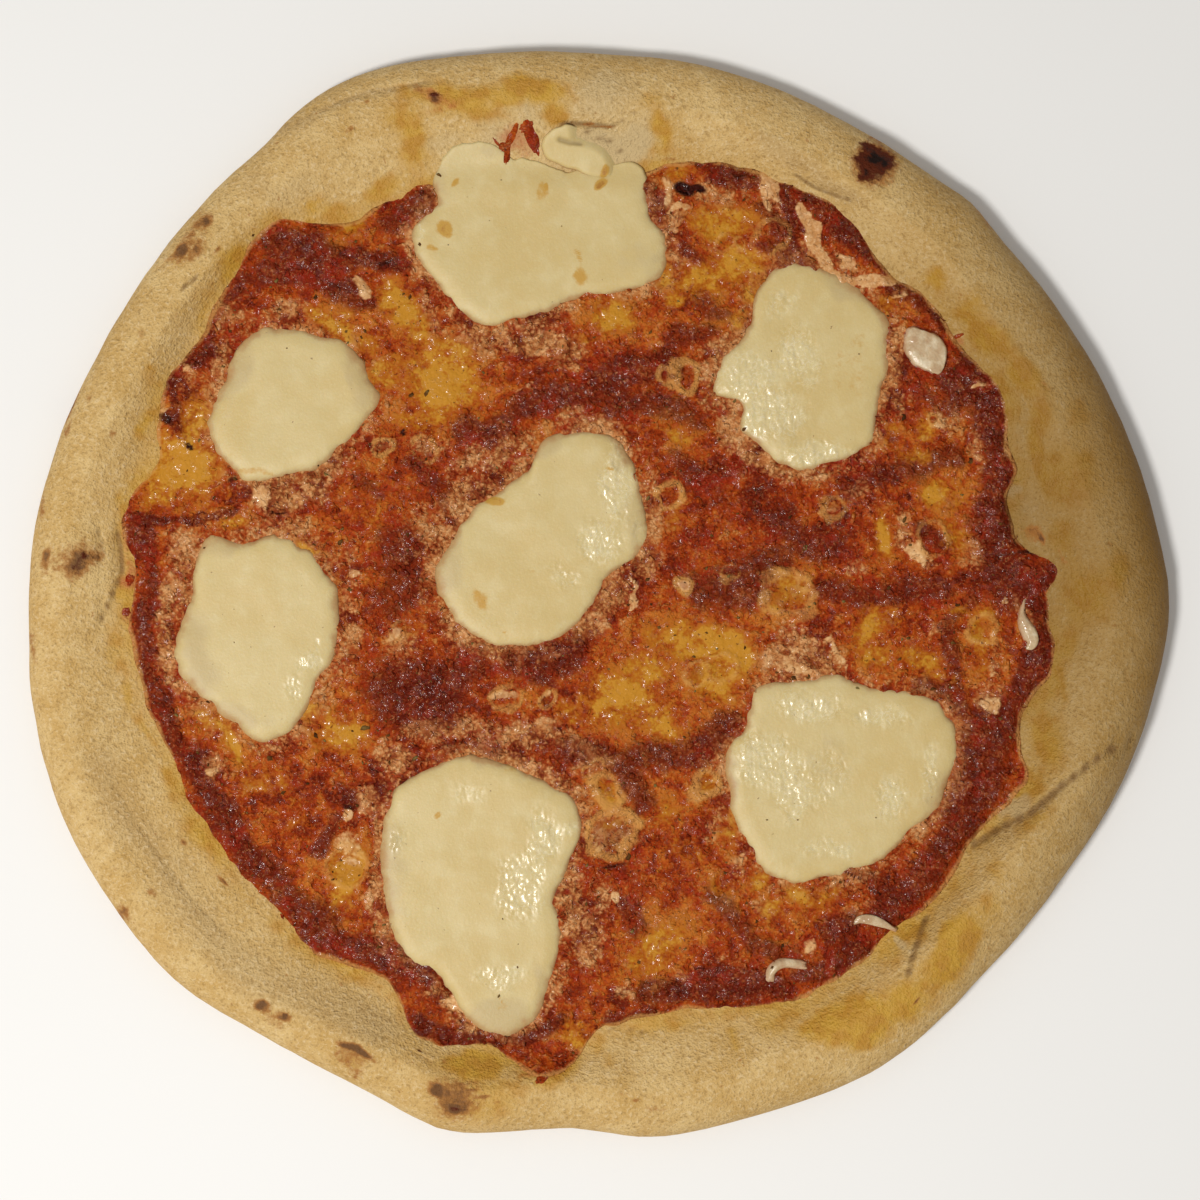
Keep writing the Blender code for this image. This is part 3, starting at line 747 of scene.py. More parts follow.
deepSauce = (  # width, strength, line
    (1.6, 1.3, 57, -86, 59, -91, 61, -99, 63, -101), (8, 0.9, -120, 18, -120, 12),
    (6, 0.84, -119, 10, -117, 0, -119, -10, -118, -22, -113, -33, -108, -42),
    (8, 0.92, -106, -43, -102, -52, -96, -61, -92, -68, -85, -75, -78, -82, -70, -85),
    (8, 1.05, -76, -88, -68, -92, -60, -92, -53, -95, -46, -99),
    (2.4, 1.1, -122, 21, -112, 19.5, -101, 21, -95, 23),
    (3.4, 1.15, -113, 57, -112, 51, -111, 45, -108, 40), (3.6, 1.15, -116, 46, -112, 44, -109, 41),
    (4, 1, -109, 61, -104, 60, -101, 64, -102, 71, -98, 77, -93, 81),
    (10, 1.15, -84, 92, -76, 91, -70, 88, -66, 87), (7, 1, -86, 84, -78, 84, -70, 80, -63, 77),
    (3.4, 1.05, -70, 80, -64, 76, -58, 75.5), (6, 1.15, -62, 87, -52, 87),
    (7, 0.8, -54, 98, -50, 100, -46, 103), (5, 1.15, 30, 110.4, 35, 109.6, 40, 108),
    (5, 1.2, 43.5, 111, 46, 108.3, 51, 106.8, 57, 103, 62, 98.6, 69, 92.6, 75, 87),
    (5.6, 1.2, 60, 99, 66.5, 94, 71, 90), (3.2, 1, 46, 108, 50, 102, 51.4, 97),
    (4, 0.9, 44, 92, 49, 88, 52, 84), (4, 0.8, -44, 30, -41, 24, -39, 19), (4, 0.7, -40, -41, -26, -40),
    (4, 1, 2, -111, 8, -112, 14, -110), (5, 1.2, 45, 107.5, 48.5, 103, 50, 98.5),
    (4, 1, 42, 100.4, 46.5, 95.6, 51, 92, 54, 87, 57, 82), (6.5, 1.2, 77, 81.6, 84, 78.5, 91, 71.5),
    (7, 1, 96, 62, 101, 55), (12, 1.15, 96, 55, 101, 51, 102, 46, 104, 42),
    (11, 1.1, 105, 33, 104, 26, 105, 18), (14, 0.95, 103, 16, 104, 6, 108, 2), (9, 1.05, 113, 5, 118, 5),
    (6, 0.95, 104, 6, 112, 0, 116, -3), (9, 1.15, 116, -6, 117, -12, 114.5, -20, 111, -26),
    (14, 1, 104, -33, 100, -42, 99, -50, 95, -58), (9, 0.95, 92, -64, 86, -72, 80, -80, 76, -84),
    (7, 1, 70, -93, 60, -97, 54, -99), (6, 0.95, 60, -88, 66, -86),
    (8, 1.1, 46, -101, 34, -102, 22, -103, 12, -104),
    (4, 1.1, -10, -112, -20, -117, -30, -116, -40, -117), (6, 1.1, -46, -113, -40, -116),
    (8, 1, -20, 49, -8, 52, 4, 55, 14, 61, 18, 62), (6, 0.8, 20, 66, 28, 68),
    (8, 0.8, 2, 48, 14, 50, 26, 46), (20, 0.95, -52, -26, -44, -28), (9, 0.75, -38, -22, -32, -16),
    (9, 0.85, 47, 19, 54, 13, 60, 13), (12, 0.95, 27, 2, 38, 1, 46, 8),
    (8, 0.75, 66, 28, 74, 30, 84, 34, 92, 37), (8, 0.8, 60, 1, 68, -2, 80, 2, 88, 2),
    (9, 1, -6, -15, -16, -19, -22, -18), (9, 0.95, -8, -41, 4, -43, 14, -42, 26, -42, 34, -34),
    (7, 0.9, 8, -47, 11, -54), (7, 1, -36, 43, -30, 41, -24, 44), (6, 0.8, -48, 34, -44, 30, -40, 28),
    (12, 0.75, -52, 12, -50, 2, -54, -2), (5, 1.1, 84, 17, 90, 14.5), (6, 0.8, 92, -10, 93, -22, 96, -32),
    (6, 0.7, 20, 35, 28, 30, 36, 33), (5, 0.95, -67, -52, -66, -56), (4, 0.9, -70, -60, -73, -68),
    (4, 0.8, 22, 90, 26, 87), (7, 0.75, 26, 76, 30, 74), (6, 0.8, 8, -80, 11, -88),
    (6, 0.8, 30, -78, 40, -90, 50, -94), (6, 0.8, 84, -24, 94, -24), (5, 0.7, 100, 4, 96, -2, 92, -6),
    (6, 0.7, 84, 52, 90, 50, 94, 50), (5, 0.85, 11, 107, 14, 103, 15, 98), (5, 0.7, -62, 30, -58, 26),
    (6, 0.7, 62, -72, 74, -76),
)  # fmt: skip
tanPatches = (
    (-97, 73, 9, 10, 50, 0.95), (-98, 60, 5, 14, -5, 0.85), (-82, 74, 9, 5, 0.9), (-109, 55, 9, 10, 0.7),
    (-108, 9, 8, 20, 0.95), (-112, -2, 6, 16, 0.9), (-113, -16, 5, 18, 5, 0.98),
    (-107, -26, 12, 4, -40, 0.95), (-100, -45, 7, 8, 30, 0.9), (-83, 25, 14, 10, -15, 1),
    (-74, 28, 10, 8, 30, 0.85), (-66, -12, 6, 18, 0.85), (-65, 6, 5, 12, 0.7), (-43, 74, 5, 20, 25, 0.85),
    (-31, 66, 14, 9, -10, 1), (-18, 66, 20, 6, 5, 0.95), (-8, 64, 12, 9, 1), (-35, 26, 12, 9, 45, 1),
    (-44, 18, 10, 22, -30, 0.72), (-24, 37, 16, 6, 35, 1), (-34, 36, 12, 5, 35, 0.8),
    (-55, -44, 12, 8, 20, 0.85), (-40, -36, 30, 6, 4, 0.8), (-18, -37, 20, 8, 4, 0.95),
    (-3, -43, 12, 9, -50, 0.9), (3, 0, 14, 8, 50, 1), (-3, -9, 14, 7, 20, 1), (13, 9, 8, 10, 0.95),
    (14, 22, 4, 18, 0.75), (34, 44, 6, 13, 1), (44, 34, 18, 5, -25, 0.95), (33, 65, 12, 6, 50, 0.9),
    (53, -17, 20, 15, 1.1), (-7, -84, 5, 20, 1), (-3, -92, 8, 12, 0.95), (-6, -72, 5, 8, 0.95),
    (-14, -104, 6, 10, -20, 0.7), (0, -80, 6, 9, 0.9), (63, 87, 6, 5, -25, 0.8), (4, -62, 12, 11, 0.9),
    (-80, 16, 12, 7, 0.9), (20, -100, 6, 5, 0.8), (30, 104, 18, 8, 0.7), (44, 105, 4, 13, 25, 0.95),
    (18, 102, 3.4, 14, 10, 1), (22, 98, 7, 4, 0.9), (91, 46, 9, 5, -50, 0.95), (98, 38, 4, 10, 20, 0.7),
    (78, 52, 4, 14, 20, 0.8), (78, 68, 3.6, 12, 20, 0.85), (-58, -70, 3.4, 34, 0.95),
    (-62, -54, 8, 8, 30, 0.85), (101, -28, 6, 9, 10, 0.75), (104, -18, 3, 12, 0.7), (30, -60, 4, 10, 0.7),
    (36, -70, 5, 10, 0.7), (-39, -107, 12, 4, -20, 1), (-44, -104, 6, 3, 30, 0.8), (84, 11, 9, 3, -45, 1),
    (80, 17, 3, 10, 0.8), (97, 10, 6, 8, 0.75), (-50, -14, 9, 6, 0.7), (6, -104, 7, 4, 20, 0.9),
    (44, -82, 10, 4, -40, 0.8), (60, -72, 8, 3, -10, 0.8), (66, -84, 12, 3, -10, 0.7),
    (79, 80, 6, 3, -20, 0.9), (110, -4, 4, 8, 20, 0.8), (97, 54, 8, 3, 20, 0.75), (106, 36, 4, 5, 0.6),
    (70, 27, 6, 5, 0.6), (61, 22, 5, 4, 0.7), (-9, 46, 10, 4, 20, 0.6), (30, 52, 6, 6, 0.8),
    (-56, 40, 5, 5, 0.9), (-45, 39, 9, 5, 0.8), (36, -96, 12, 3, 0.5), (8, -98, 4, 3, 0.8),
    (88, -10, 8, 5, 0.45), (68, 8, 8, 5, 0.5),
)  # fmt: skip
milkyPatches = (
    (-61, 79, 7, 4, -35, 0.95), (-66, -66, 7, 9, 0.7), (-67, -59, 2.4, 5, 1), (-101, -46, 4, 3, 0.9),
    (-87, 25, 5, 7, -20, 0.8), (-64, 6, 5, 4, 0.85), (-53, -11, 4, 4, 0.8), (54.5, -92, 3, 6, 20, 0.62),
    (65, 87, 6, 3.4, -30, 0.85), (79, 79, 5, 2, 0.7), (52, -19, 12, 9, 0.7), (21, 100, 9, 2.4, 10, 1),
    (17, 104, 2.6, 8, 10, 0.8), (45, 106, 3, 10, 25, 0.9), (83, 11, 6, 2.6, -45, 1.05),
    (82, 14, 2, 5, -10, 0.6), (91, 46, 7, 2.6, -55, 0.95), (7, 0, 4, 7, 30, 0.75),
    (102, -29, 3, 5, 20, 0.75), (103, -20, 3, 4, 0.8), (-39, -107, 10, 2.4, -20, 0.8),
    (5, -79, 3, 3, 0.95), (5, -104, 6, 4, 0.7), (22, 1.5, 4, 4, 0.8), (-14, -26, 5, 3, 30, 0.8),
    (-25, -26, 6, 3, 0.8), (1, -64, 7, 6, 0.6), (-108, 59, 5, 3, 0.7), (-115, 47, 2, 2, 0.8),
    (107, 37, 3, 3, 0.7), (-20, 54, 7, 2.4, 25, 0.6), (9, 1, 2, 8, 0.9), (8, -4, 2, 4, 30, 0.7),
    (98, 54, 5, 1.6, 30, 0.85), (105, -1, 4, 2, 50, 0.8),
)  # fmt: skip
milkyStreaks = (
    (3.6, 1.15, 52.6, 100.4, 55.6, 96.7, 57.4, 90, 60.8, 84),
    (3.2, 1.15, 60.8, 84, 66.3, 81.4, 71.7, 81.4, 76.5, 83.7),
    (1.8, 0.95, 42.6, 110.4, 43, 105, 44.4, 101), (1.6, 0.8, 60, -11, 64, -18, 63, -24),
)  # fmt: skip
rings = (  # rims of burst bubbles: x, y, across, height, width, paleness
    (22, 57, 8.5, 0.9, 2.2, 0.85), (17, 58, 4.5, 0.6, 1.6, 0.7), (18.5, 25.5, 7.5, 0.7, 2, 0.75),
    (22, 1.5, 5, 0.5, 1.6, 0.8), (50, 0, 12, 0.6, 3.4, 0.6), (53.5, 3, 3.5, 0.5, 1.4, 0.8),
    (32, -20, 8, 0.5, 2.4, 0.45), (25, -21, 7, 0.5, 1.8, 0.6), (4, -62, 12.5, 1, 3, 0.8),
    (2, -51, 7, 0.8, 2.4, 0.8), (1.6, -63.4, 3, 0.4, 1.2, 0.6), (6, -60, 3.4, 0.4, 1.2, 0.6),
    (5.4, -65, 2.6, 0.4, 1, 0.6), (2.6, -67.4, 2.4, 0.3, 1, 0.5), (45, 93.3, 9, 0.5, 2.2, 0.5),
    (36.2, 92, 4, 0.5, 1.6, 0.6), (27, -50, 6.5, 0.7, 2.6, 0.75), (87, 15.5, 9, 0.7, 2, 0.5),
    (-56, 39, 5.5, 0.6, 1.6, 0.85), (-45, 38, 7, 0.4, 1.6, 0.6), (101, -10, 8, 0.6, 2, 0.55),
    (-66, -72, 10, 0.5, 2, 0.5), (62, 22, 6, 0.4, 1.8, 0.6), (-52, -10, 6, 0.4, 1.6, 0.5),
    (34, 5, 4, 0.4, 1.2, 0.5), (-24, -27, 6, 0.5, 1.6, 0.6), (-13, -27, 5, 0.5, 1.6, 0.65),
    (-2, -47, 4, 0.5, 1.3, 0.6), (88, 46, 3, 0.5, 1.1, 0.7), (-86, 96, 4, 0.3, 1.2, 0.3),
    (32, 92, 4.5, 0.4, 1.2, 0.5),
)  # fmt: skip
scorched = (
    (22.6, 105.6, 6, 3.6, -8, 1.15), (26.4, 106, 5, 1.8, -12, 1.05), (-113.6, 45, 6, 2.2, -35, 0.8),
    (-107, 39, 2.4, 1.4, -40, 1), (-51.4, 42.2, 1.8, 1.8, 1), (36.5, 109.4, 5, 1.4, -10, 0.62),
    (-55, 86.5, 5, 1.8, 10, 0.75), (-70, 81, 6, 2, -30, 0.6), (26, 113, 3, 2, 0.7),
    (-95.5, 30, 3, 2, 20, 0.7), (-84, 21.6, 6, 1, -3, 0.8), (-66, -56, 4, 2, 0.7), (107, 11, 8, 1, 0.6),
    (112, 11, 8, 1.2, 0.7), (66, -74, 8, 1, -20, 0.7), (72, -78, 8, 1, -30, 0.7),
    (4, -71, 9, 1.4, 12, 0.7),
)  # fmt: skip


def sauceReach(turn):
    edge = readRound(sauceEdge, turn)
    return edge + unevenEdge(turn, edge, 31, sauce["unevenEdge"])


def besideSlices(x, y):  # distance outside the nearest slice, below 0 under one
    best = np.full_like(x, 1e9)
    for name in slices:
        dx, dy = x - shapes[name]["centre"][0], y - shapes[name]["centre"][1]
        best = np.minimum(best, np.hypot(dx, dy) - readRound(shapes[name]["edge"], turnOf(dx, dy)))
    return best


def roundGrid(name, steps):  # a grid drawn into a round of radius 1, as evenly as it goes
    add = bpy.ops.mesh.primitive_grid_add
    piece = newPiece(name, add, x_subdivisions=steps, y_subdivisions=steps, size=2)
    flat = getPoints(piece)[:, :2] * mm
    wide = np.abs(flat[:, 0]) >= np.abs(flat[:, 1])
    side = np.where(wide, flat[:, 0], flat[:, 1])
    other = np.where(wide, flat[:, 1], flat[:, 0])
    angle = np.pi / 4 * other / np.where(side == 0, 1, side)
    x = np.where(wide, side * np.cos(angle), side * np.sin(angle))
    y = np.where(wide, side * np.sin(angle), side * np.cos(angle))
    return piece, x, y


def closeBelow(piece, height, taper=1.0):  # draws the open edge down to a flat underside and fills it
    makeActive(piece)
    setMode("EDIT")
    bpy.ops.mesh.select_mode(type="VERT")
    bpy.ops.mesh.select_all(action="DESELECT")
    bpy.ops.mesh.select_non_manifold()
    bpy.ops.mesh.extrude_region_move()
    setMode("OBJECT")
    points = getPoints(piece)
    chosen = np.empty(len(points), bool)
    piece.data.vertices.foreach_get("select", chosen)
    centre = points[chosen, :2].mean(axis=0)
    points[chosen, 2] = height
    points[chosen, :2] = centre + (points[chosen, :2] - centre) * taper
    setPoints(piece, points)
    setMode("EDIT")
    bpy.ops.mesh.edge_face_add()
    pointOutwards()


def sauceFields(x, y):  # what kind of sauce is at each place
    wx, wy = wander(x, y)
    ring, hollow = np.zeros_like(x), np.zeros_like(x)
    for px, py, across, _, width, pale in rings:
        away = np.hypot(wx - px, wy - py)
        ring = np.maximum(ring, pale * np.clip(1.5 - np.abs(away - across / 2) / (width / 2), 0, 1))
        hollow = np.maximum(hollow, pale * smoothStep(across / 2 - width / 4, across / 2 - width, away))
    beside = 0.66 * smoothStep(8, 1, besideSlices(x, y)) * (1 + 0.6 * cloud(x, y, 11, 41))
    around = [(px, py, length + 12, width + 12, *rest) for px, py, length, width, *rest in oilPools]
    return {
        "pool": patchField(wx, wy, oilPools),
        "warm": patchField(wx, wy, around),
        "deep": strandField(wx, wy, deepSauce),
        "dry": np.maximum(patchField(wx, wy, tanPatches), beside),
        "milk": np.maximum(patchField(wx, wy, milkyPatches), strandField(wx, wy, milkyStreaks)),
        "ring": ring,
        "hollow": hollow,
        "scorch": patchField((x + wx) / 2, (y + wy) / 2, scorched),
    }


def makeSauce():
    piece, u, v = roundGrid("tomatoSauce", sauce["gridSteps"])
    turn, share = turnOf(u, v), np.hypot(u, v)
    edge = sauceReach(turn)
    reach = edge * share
    x, y = atTurn(reach, turn)
    inFrom = edge - reach
    depth = smoothStep(-0.2, sauce["full"], inFrom)
    lip = doughTop(reach, turn) + sauce["film"] * np.sqrt(np.clip(inFrom / 1.2, 0, 1)) + 0.5 * depth
    height = np.maximum(lip, np.where(inFrom < 0.01, lip - 0.4, sauceTop - 0.9 * (1 - depth)))
    fields = sauceFields(x, y)
    wx, wy = wander(x, y)
    for px, py, across, rise, width, _ in rings:
        away = np.hypot(wx - px, wy - py)
        height += rise * bell(away - across / 2, width / 2) * depth
    lift = 0.5 * smoothStep(0.3, 0.9, fields["deep"]) + 0.35 * smoothStep(0.4, 0.8, fields["milk"])
    sink = 0.3 * smoothStep(0.4, 0.9, fields["pool"]) + 0.7 * smoothStep(0.5, 1.0, fields["scorch"])
    height += (lift - sink) * depth
    setPoints(piece, np.column_stack((x, y, height)))
    calm = (1 - 0.75 * smoothStep(0.4, 0.8, fields["pool"])) * depth
    for size, deep, detail in sauce["lumps"]:
        roughen(piece, size, deep, depth if size > 5 else calm, detail, "Z")
    storeFields(piece, {**fields, "rim": 1 - smoothStep(0, 2.4, inFrom)})
    closeBelow(piece, sauceFloor)
    finishPiece(piece, sauceFinish(), "sauce")
    print("sauce:", len(piece.data.polygons), "faces")
    return piece


def sauceFinish():
    paint = Finish("bakedTomato", {
        "black": (40, 14, 8), "singed": (66, 20, 12), "maroon": (88, 20, 6), "dark": (122, 37, 9),
        "red": (153, 54, 11), "rust": (171, 75, 19), "orange": (190, 110, 38), "wine": (90, 22, 7),
        "deep": (107, 30, 11), "plum": (131, 47, 22), "crimson": (152, 38, 16), "poolRed": (158, 80, 16),
        "pool": (162, 89, 16), "poolGold": (172, 104, 20), "poolPale": (190, 134, 40),
        "dryDark": (144, 72, 32), "dry": (188, 122, 68), "dryPale": (222, 168, 114), "milk": (198, 142, 84),
        "milkPale": (226, 184, 132), "paintedGleam": (206, 142, 92), "fringe": (194, 142, 80),
        "ring": (204, 148, 78), "fleck": (76, 24, 8),
    })  # fmt: skip
    other = paint.shifted(90)
    broad = paint.noise(15, 3)
    lump = paint.noise(4.6, 3, 0.5, 0.6)
    clump = paint.clump(1.25)
    fine = paint.noise(0.75, 2, place=other)
    deep = paint.mask("deep", 0.34, 0.6, (lump, 1.4), (fine, 0.3))
    warm = paint.mask("warm", 0.5, 0.6, (lump, 1.4), (fine, 0.3))
    tone = paint.add(paint.sum((broad, 1.1), (lump, 0.9), (clump, 0.2), (fine, 0.3)), 0.5)
    tone = paint.add(tone, paint.times(paint.field("shade"), 0.2))
    tone = paint.add(tone, paint.times(warm, 0.24))
    reds = (0.1, "maroon"), (0.3, "dark"), (0.46, "red"), (0.62, "rust"), (0.86, "orange")
    paint.base = paint.ramp(tone, *reds)
    wine = paint.add(paint.sum((lump, 1.0), (clump, 0.3), (fine, 0.35)), 0.5)
    paint.over(paint.ramp(wine, (0.3, "wine"), (0.5, "deep"), (0.74, "plum")), deep, 0.88)
    crimson = paint.step(paint.noise(6, 3, 0.5, place=paint.shifted(170)), 0.54, 0.66, 0, 0.55)
    paint.over("crimson", crimson, paint.step(warm, 0, 1, 1.0, 0.2))
    dryness = paint.add(paint.sum((clump, 0.36), (fine, 0.6), (lump, 1.2)), 0.5)
    dryTint = paint.ramp(dryness, (0.22, "dryDark"), (0.48, "dry"), (0.82, "dryPale"))
    dry = paint.mask("dry", 0.4, 0.56, (lump, 1.5), (clump, 0.35))
    paint.over(dryTint, dry, paint.step(deep, 0, 1, 0.95, 0.35))
    oiliness = paint.level("pool", (lump, 1.3), (clump, 0.2), (fine, 0.6), (broad, 0.6))
    golds = (0.3, "poolRed"), (0.56, "pool"), (0.8, "poolGold"), (1.0, "poolPale")
    pool = paint.step(oiliness, 0.1, 0.96)
    paint.over(paint.ramp(oiliness, *golds), pool, 0.88)
    milky = paint.step(paint.sum((clump, 0.25), (fine, 0.5), (lump, 0.6)), -0.25, 0.25)
    milk = paint.mask("milk", 0.2, 0.56, (lump, 1.4), (clump, 0.12))
    paint.over(paint.mix(milky, "milk", "milkPale"), milk, 0.9)
    paint.over("ring", paint.mask("ring", 0.3, 0.5, (lump, 0.7), (fine, 0.3)), 0.72)
    paint.over("dark", paint.mask("hollow", 0.3, 0.6, (lump, 0.8)), 0.5)
    # painted highlight: thin raised threads drawn pale pink, as glints on the wet sauce
    raised = paint.thread(paint.noise(2.0, 2, 0.5, 1.6), 0.03)
    thread = paint.times(raised, paint.step(fine, 0.44, 0.58))
    paint.over("paintedGleam", thread, paint.step(pool, 0, 1, 0.55, 0.15))
    crack = paint.thread(paint.noise(2.6, 2, 0.5, 1.8, other), 0.024)
    crack = paint.times(crack, paint.step(lump, 0.56, 0.42, 0.1, 0.6))
    paint.over("maroon", crack, paint.step(pool, 0, 1, 0.8, 0.3))
    paint.over("fringe", paint.mask("rim", 0.3, 0.64, (lump, 1.2), (broad, 1.6)), 0.7)
    paint.over("fleck", paint.step(paint.noise(1.1, 2, 0.5, place=other), 0.67, 0.71), 0.65)
    scorch = paint.mask("scorch", 0.3, 0.5, (lump, 0.8), (fine, 0.4))
    paint.over(paint.mix(paint.step(fine, 0.4, 0.6), "black", "singed"), scorch)
    wet = paint.step(paint.add(paint.noise(1.9, 3, 0.6, place=other), paint.times(deep, 0.05)), 0.53, 0.62)
    calm = paint.step(paint.math("MAXIMUM", pool, milk), 0, 1, 1.0, 0.4)
    for height, depth in ((lump, 1.4), (clump, 0.32), (raised, 0.08), (fine, 0.24)):
        paint.bump(height, depth, calm)
    shine = paint.step(wet, 0, 1, 0.06, 0.5)
    return paint.close(Roughness=paint.step(wet, 0, 1, 0.5, 0.17), Specular_IOR_Level=shine)


# bits of tomato on the sauce, and dabs of it on the dough

bits = {
    "count": 2100,
    "threads": 800,
    "seed": 8,
    "size": (0.5, 1.3),
    "kinds": 6,
    "everywhere": 0.35,  # the share kept where nothing asks for more
    "threadLength": (1.6, 4.5),
    "threadWidth": 0.34,
    "drawn": 0.16,  # how wide a thread is before it is sized, for a length of 1
    "sink": 0.1,
}
dab = {
    "gridSteps": 22,
    "unevenEdge": ((0.2, 0.7), (0.2, 0.3)),
    "sink": 0.14,
    "tall": 0.42,
    "lumps": (1.4, 0.26),  # size and depth
}
dabs = (  # x, y, length, width, turn
    (-17.3, 118.5, 9.4, 3.2, -68), (-18.6, 121.4, 4, 3, 30), (-22.6, 119, 7.4, 2, 63),
    (-23.9, 114.4, 5.4, 1.9, 84), (-24.4, 116.4, 3, 2.6, 0), (-26.4, 117.4, 3.4, 0.8, -48),
    (94, 67.4, 3, 1.2, 20), (-122.5, 3.6, 3.4, 2.4, 80), (-123.6, -4.6, 2.6, 2.4, 0),
    (26, 111.8, 3, 2, 20), (-15, -126, 3.4, 2.2, 20),
)  # fmt: skip


def lumpShape(number, dice):  # one uneven scrap, a unit across
    name = "lump" + str(number)
    piece = newPiece(name, bpy.ops.mesh.primitive_ico_sphere_add, subdivisions=2, radius=0.5)
    points = np.array([vertex.co for vertex in piece.data.vertices])
    points *= 1 + 0.35 * np.array([[dice.uniform(-1, 1)] for _ in points])
    points *= (1.0, dice.uniform(0.5, 0.9), dice.uniform(0.4, 0.6))
    piece.data.vertices.foreach_set("co", points.astype(np.float32).ravel())
    return piece


def treesOf(pieces):  # what scraps are dropped on
    graph = bpy.context.evaluated_depsgraph_get()
    return [BVHTree.FromObject(piece, graph) for piece in pieces]


def landing(grounds, x, y):  # the highest surface under a place, and its normal
    above, down = Vector((x * mm, y * mm, 50 * mm)), Vector((0, 0, -1))
    hits = [ground.ray_cast(above, down)[:2] for ground in grounds]
    return max((hit for hit in hits if hit[0]), key=lambda hit: hit[0].z)


def layDown(name, kinds, grounds, places, sink):  # copies on the surface; places: kind, x, y, sizes, turn
    laid = []
    for kind, x, y, sizes, turn in places:
        spot, normal = landing(grounds, x, y)
        copy = bpy.data.objects.new("scrap", kinds[kind].data.copy())
        bpy.context.collection.objects.link(copy)
        copy.scale = [size * mm for size in sizes]
        copy.rotation_mode = "QUATERNION"
        spin = Vector((1, 0, 0)).rotation_difference(Vector((*facing(turn), 0)))
        copy.rotation_quaternion = Vector((0, 0, 1)).rotation_difference(normal) @ spin
        copy.location = spot + normal * sink * sizes[2] * mm
        laid.append(copy)
    for kind in kinds:
        bpy.data.objects.remove(kind)
    piece = joinPieces(laid)
    bpy.ops.object.transform_apply(location=True, rotation=True, scale=True)
    piece.rotation_mode = "XYZ"
    pointOutwards()
    return nameIt(piece, name)


def freePlaces(seed, count, accept):  # random places on the sauce that a test accepts
    dice = np.random.default_rng(seed)
    tries = count * 8
    turn, reach = dice.uniform(0, 360, tries), sauce["scrapReach"] * np.sqrt(dice.random(tries))
    x, y = atTurn(reach, turn)
    keep = (sauceReach(turn) - reach > 1.2) & accept(x, y, dice.random(tries))
    return list(zip(x[keep].tolist(), y[keep].tolist()))[:count]


def fibreShape(number, dice):  # one curled thread of pulp, a unit long
    name, along = "thread" + str(number), (0, math.pi / 2, 0)
    add = bpy.ops.mesh.primitive_cylinder_add
    piece = newPiece(name, add, vertices=5, radius=0.5, depth=1, rotation=along)
    bpy.ops.object.transform_apply(location=False, rotation=True, scale=False)
    setMode("EDIT")
    for step in range(-2, 3):
        bpy.ops.mesh.select_all(action="SELECT")
        bpy.ops.mesh.bisect(plane_co=(step / 6, 0, 0), plane_no=(1, 0, 0))
    bpy.ops.mesh.select_all(action="SELECT")
    setMode("OBJECT")
    bend, wave, phase = dice.uniform(-1.2, 1.2), dice.uniform(0.1, 0.35), dice.uniform(0, 6)
    drawn = bits["drawn"]
    for vertex in piece.data.vertices:
        along = vertex.co.x
        thick = 1 - 1.2 * abs(along)
        vertex.co.y = vertex.co.y * drawn * thick + bend * along**2 + wave * math.sin(7 * along + phase)
        vertex.co.z = vertex.co.z * drawn * thick + 0.1 * math.sin(9 * along + 2 * phase)
    return piece


def scatter(name, kinds, grounds, places):
    piece = layDown(name, kinds, grounds, places, bits["sink"])
    points = getPoints(piece)
    dice = np.random.default_rng(len(places))
    shades = np.repeat(dice.uniform(-1, 1, len(places)), len(points) // len(places))
    storeFields(piece, {**sauceFields(points[:, 0], points[:, 1]), "shade": shades})
    finishPiece(piece, bpy.data.materials["bakedTomato"])
    print(name + ":", len(places))


def makeBits(ground):
    dice = random.Random(bits["seed"])

    def rough(x, y, chance):
        here = sauceFields(x, y)
        share = bits["everywhere"] + 0.6 * here["dry"] + 0.3 * here["deep"] - 0.5 * here["pool"]
        return (besideSlices(x, y) > 0.3) & (chance < share)

    places = []
    for x, y in freePlaces(bits["seed"], bits["count"], rough):
        size = dice.uniform(*bits["size"]) * dice.uniform(0.7, 1.3)
        sizes = (size * dice.uniform(1, 1.9), size, size * dice.uniform(0.6, 1.0))
        places.append((dice.randrange(bits["kinds"]), x, y, sizes, dice.uniform(0, 360)))
    scatter("tomatoBits", [lumpShape(k, dice) for k in range(bits["kinds"])], ground, places)
    places = []
    for x, y in freePlaces(bits["seed"] + 1, bits["threads"], rough):
        length = dice.uniform(*bits["threadLength"])
        sizes = (length, length * 0.6, dice.uniform(0.6, 1.3) * bits["threadWidth"] / bits["drawn"])
        places.append((dice.randrange(bits["kinds"]), x, y, sizes, dice.uniform(0, 360)))
    scatter("tomatoThreads", [fibreShape(k, dice) for k in range(bits["kinds"])], ground, places)


def makeDabs(ground):
    made = []
    for number, (px, py, length, width, turn) in enumerate(dabs):
        piece, u, v = roundGrid("dab", dab["gridSteps"])
        share = np.hypot(u, v)
        reach = 1 + unevenEdge(turnOf(u, v), 1.0, 60 + number, dab["unevenEdge"]) * share
        c, s = facing(turn)
        along, across = u * reach * length / 2, v * reach * width / 2
        x, y = px + along * c - across * s, py + along * s + across * c
        spot = [landing(ground, a, b)[0].z / mm for a, b in zip(x, y)]
        height = np.array(spot) - dab["sink"] + dab["tall"] * np.sqrt(1 - np.clip(share, 0, 1) ** 2)
        size, depth = dab["lumps"]
        height += depth * cloud(x, y, size, 70 + number) * (1 - share)
        setPoints(piece, np.column_stack((x, y, height)))
        closeBelow(piece, min(height) - 0.4)
        made.append(piece)
    piece = nameIt(joinPieces(made), "tomatoDabs")
    storeFields(piece, {"deep": np.full(len(piece.data.vertices), 0.4)})
    finishPiece(piece, bpy.data.materials["bakedTomato"])
    print("dabs:", len(made))


# mozzarella

